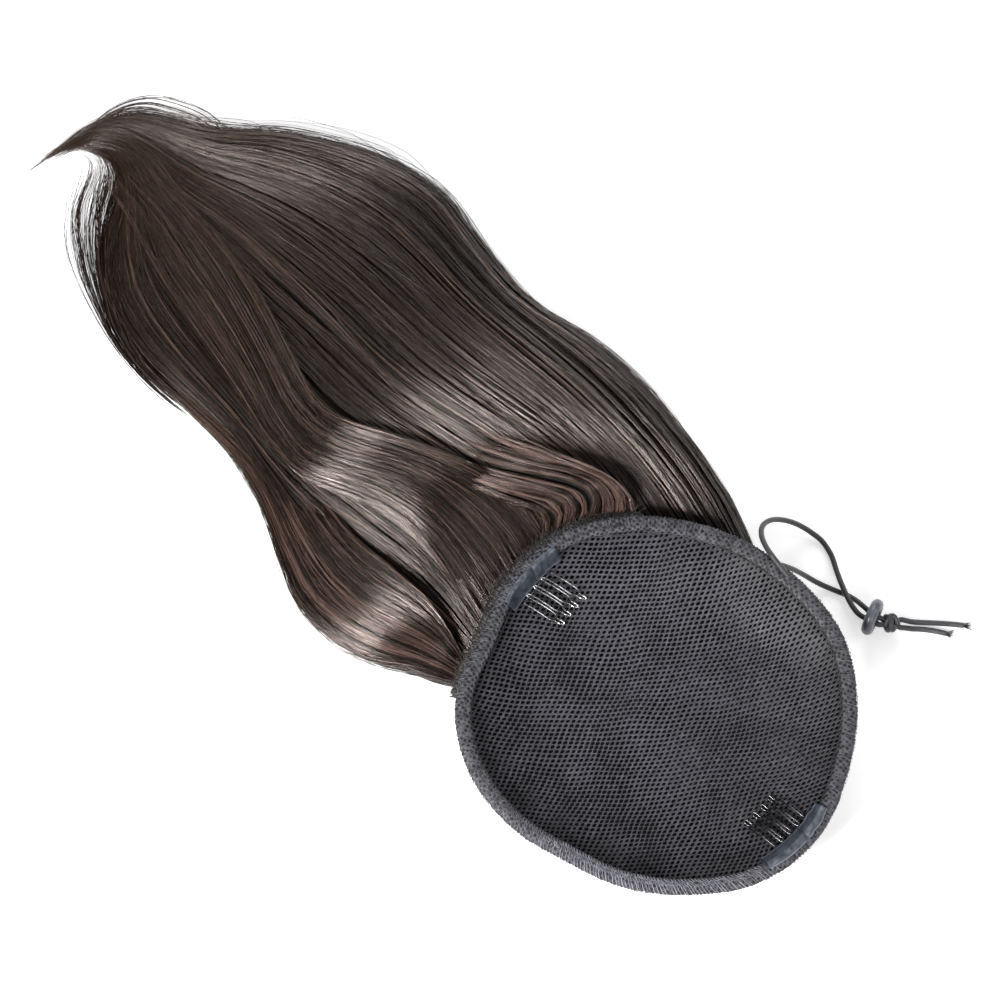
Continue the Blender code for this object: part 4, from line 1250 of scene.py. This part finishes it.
# Loose hair. Thin groups curl out over the top of the tip, a sparse veil hangs off the left
# side, and single hairs stand out along both edges and over the top of the mass.
FLICK_LINES = (
    ((330, 166, 12), (286, 152, 10), (240, 143, 9), (222, 122, 9), (203, 107, 9), (178, 97, 8),
     (155, 93, 8), (131, 96, 7), (108, 106, 6), (88, 124, 5), (62, 141, 4), (34, 157, 3)),
    ((330, 172, 12), (282, 158, 10), (232, 145, 9), (214, 127, 9), (192, 113, 9), (166, 104, 8),
     (146, 100, 8), (125, 103, 7), (106, 112, 6), (88, 126, 5), (64, 143, 4), (34, 160, 3)),
    ((330, 178, 12), (278, 164, 10), (222, 148, 8), (204, 132, 8), (180, 119, 8), (157, 110, 7),
     (138, 107, 7), (120, 110, 6), (104, 118, 6), (89, 128, 5), (66, 146, 4), (34, 163, 3)))
VEIL_LINES = (
    ((196, 426, 5), (150, 390, 4), (113, 348, 3), (86, 304, 3), (68, 266, 3), (61, 236, 3),
     (61, 214, 3), (65, 194, 3), (70, 180, 3), (77, 168, 3), (86, 158, 3)),
    ((190, 416, 6), (146, 380, 5), (113, 338, 4), (94, 296, 4), (84, 262, 4), (80, 230, 4),
     (82, 204, 4), (88, 184, 4), (93, 168, 4), (88, 155, 4), (74, 151, 3)),
    ((186, 408, 7), (142, 370, 6), (116, 328, 5), (106, 288, 5), (102, 256, 5), (104, 228, 5),
     (109, 204, 5), (113, 184, 5), (112, 168, 5), (102, 152, 4), (80, 147, 3)),
    ((184, 400, 9), (142, 360, 8), (124, 318, 8), (117, 282, 8), (115, 254, 8), (120, 228, 8),
     (126, 206, 8), (129, 186, 7), (125, 170, 6), (112, 153, 5), (86, 147, 4)))
HOOK_LINES = (
    ((230, 150, 9), (186, 138, 9), (146, 128, 8), (114, 124, 7), (90, 130, 6), (68, 140, 5),
     (48, 152, 3), (26, 168, 2)),
    ((210, 170, 9), (170, 156, 9), (136, 144, 8), (108, 136, 7), (86, 138, 6), (66, 146, 5),
     (48, 156, 3), (28, 169, 2)),
    ((190, 200, 9), (156, 180, 9), (128, 160, 8), (104, 147, 7), (85, 145, 5), (72, 147, 4),
     (60, 152, 3), (44, 160, 2)))
flick_flow, veil_flow, hook_flow = [
    flow_table(lines) for lines in (FLICK_LINES, VEIL_LINES, HOOK_LINES)]


def stray_hairs(table, side, count, points, seed, reach, down=(0.02, 1.0), length=(0.15, 0.5)):
    """Single hairs along one edge of the flow lines: they lift out of the edge and come back."""
    dice = np.random.default_rng(seed)
    share = np.linspace(0, 1, points)[None, :]
    begin = dice.uniform(down[0], down[1] - 0.12, count)[:, None]
    finish = np.minimum(begin + dice.uniform(*length, count)[:, None], 1)
    along = begin + (finish - begin) * share
    edge = np.full(along.shape, float(side))
    inside = np.abs(edge - 0.03 - np.abs(dice.normal(0, 0.02, count))[:, None])
    on_edge = flow(table, edge, along)
    routes = flow(table, inside, along)
    out = on_edge - flow(table, np.abs(edge - 0.05), along)
    out = out / np.maximum(np.linalg.norm(out[..., :2], axis=-1, keepdims=True), 0.2)
    away = np.abs(dice.normal(0, reach, count))[:, None]
    bow = np.sin(np.pi * np.minimum(share * dice.uniform(0.55, 1.1, count)[:, None], 1)) ** 0.8
    routes[..., :2] += (out[..., :2] * (away * bow)[..., None]
                        + (on_edge - routes)[..., :2] * np.minimum(share * 3, 1)[..., None])
    height = dice.uniform(0.1, 0.8, count)[:, None]
    routes[..., 2] = np.maximum(on_edge[..., 2] * height + dice.normal(0, 0.8, count)[:, None], 0.4)
    routes[..., 2] = np.minimum(routes[..., 2], ceiling(routes[..., 0], routes[..., 1]))
    routes[..., 2] = np.maximum(routes[..., 2], 0.3)
    thick = dice.uniform(0.07, 0.11, count)[:, None] * np.clip((1 - share) / 0.4, 0.2, 1)
    return routes * MM, thick * MM, np.clip(0.45 + dice.normal(0, 0.2, count), 0, 1)


def bed_hairs(count, points, seed):
    """Hairs round the side of the bed, from under the hem down to the floor."""
    dice = np.random.default_rng(seed)
    share = np.linspace(0, 1, points)[None, :]
    angle = dice.uniform(178, 425, count)[:, None] + dice.normal(0, 9, count)[:, None] * share
    radius = cap_radius(angle)
    reach = radius * (1 - 0.135 * share ** 0.8) - 1.1 + dice.normal(0, 0.3, count)[:, None]
    x = CAP_CENTRE[0] + reach * np.cos(np.radians(angle))
    y = CAP_CENTRE[1] + reach * np.sin(np.radians(angle))
    top = rim_height(x, y) - 3.6
    z = 0.4 + (top - 0.4) * (1 - share) ** 0.8
    thick = np.full((count, points), 0.16 * MM)
    shades = np.clip(dice.normal(0.55, 0.25, count), 0, 1)
    return np.stack([x, y, z], axis=-1) * MM, thick, shades


strand_piece(
    "hair_loose",
    comb_out(flick_flow, 46, 5, 20, 11, 0.035, 14, start=(0, 0.1), end=(0.74, 1.0),
             depth=0.2, ridge=0.2, stray=0.25, radius=(0.06, 0.09), own=0.16),
    comb_out(veil_flow, 96, 14, 18, 12, 0.06, 40, start=(0, 0.15), end=(0.55, 1.0),
             depth=0.3, ridge=0.3, stray=0.8, radius=(0.05, 0.09), own=0.6, crowd=0.8),
    comb_out(veil_flow, 330, 22, 18, 24, 0.05, 70, start=(0, 0.15), end=(0.75, 1.0),
             depth=0.3, ridge=0.3, radius=(0.08, 0.14), crowd=0.3),
    comb_out(hook_flow, 110, 16, 12, 13, 0.06, 40, start=(0, 0.15), end=(0.6, 1.0),
             depth=0.4, ridge=0.4, stray=0.5, radius=(0.08, 0.12)),
    stray_hairs(fall_flow, 0, 190, 16, 14, 1.3),
    stray_hairs(fall_flow, 1, 190, 16, 15, 1.3),
    stray_hairs(fall_flow, 0, 60, 16, 16, 3.2, down=(0.5, 0.85), length=(0.1, 0.3)),
    stray_hairs(lobe_flow, 1, 90, 14, 17, 1.0, down=(0.0, 0.8)))
strand_piece("hair_side", bed_hairs(700, 7, 18))
strand_piece(
    "hair_over_strands",
    comb_out(fall_flow, 420, 40, 18, 21, 0.05, 180, start=(0.05, 0.5), end=(0.6, 0.95),
             depth=0.15, ridge=1.7, stray=1.6, radius=(0.09, 0.14), tone_and_sheen=0.4),
    comb_out(wave_flow, 260, 20, 15, 22, 0.08, 110, end=(0.4, 1.0), depth=0.15, ridge=1.5,
             stray=1.3, radius=(0.09, 0.14), tone_and_sheen=0.5),
    comb_out(lobe_flow, 200, 20, 14, 23, 0.08, 90, end=(0.5, 1.0), depth=0.15, ridge=1.5,
             stray=1.0, radius=(0.09, 0.14), tone_and_sheen=0.5))
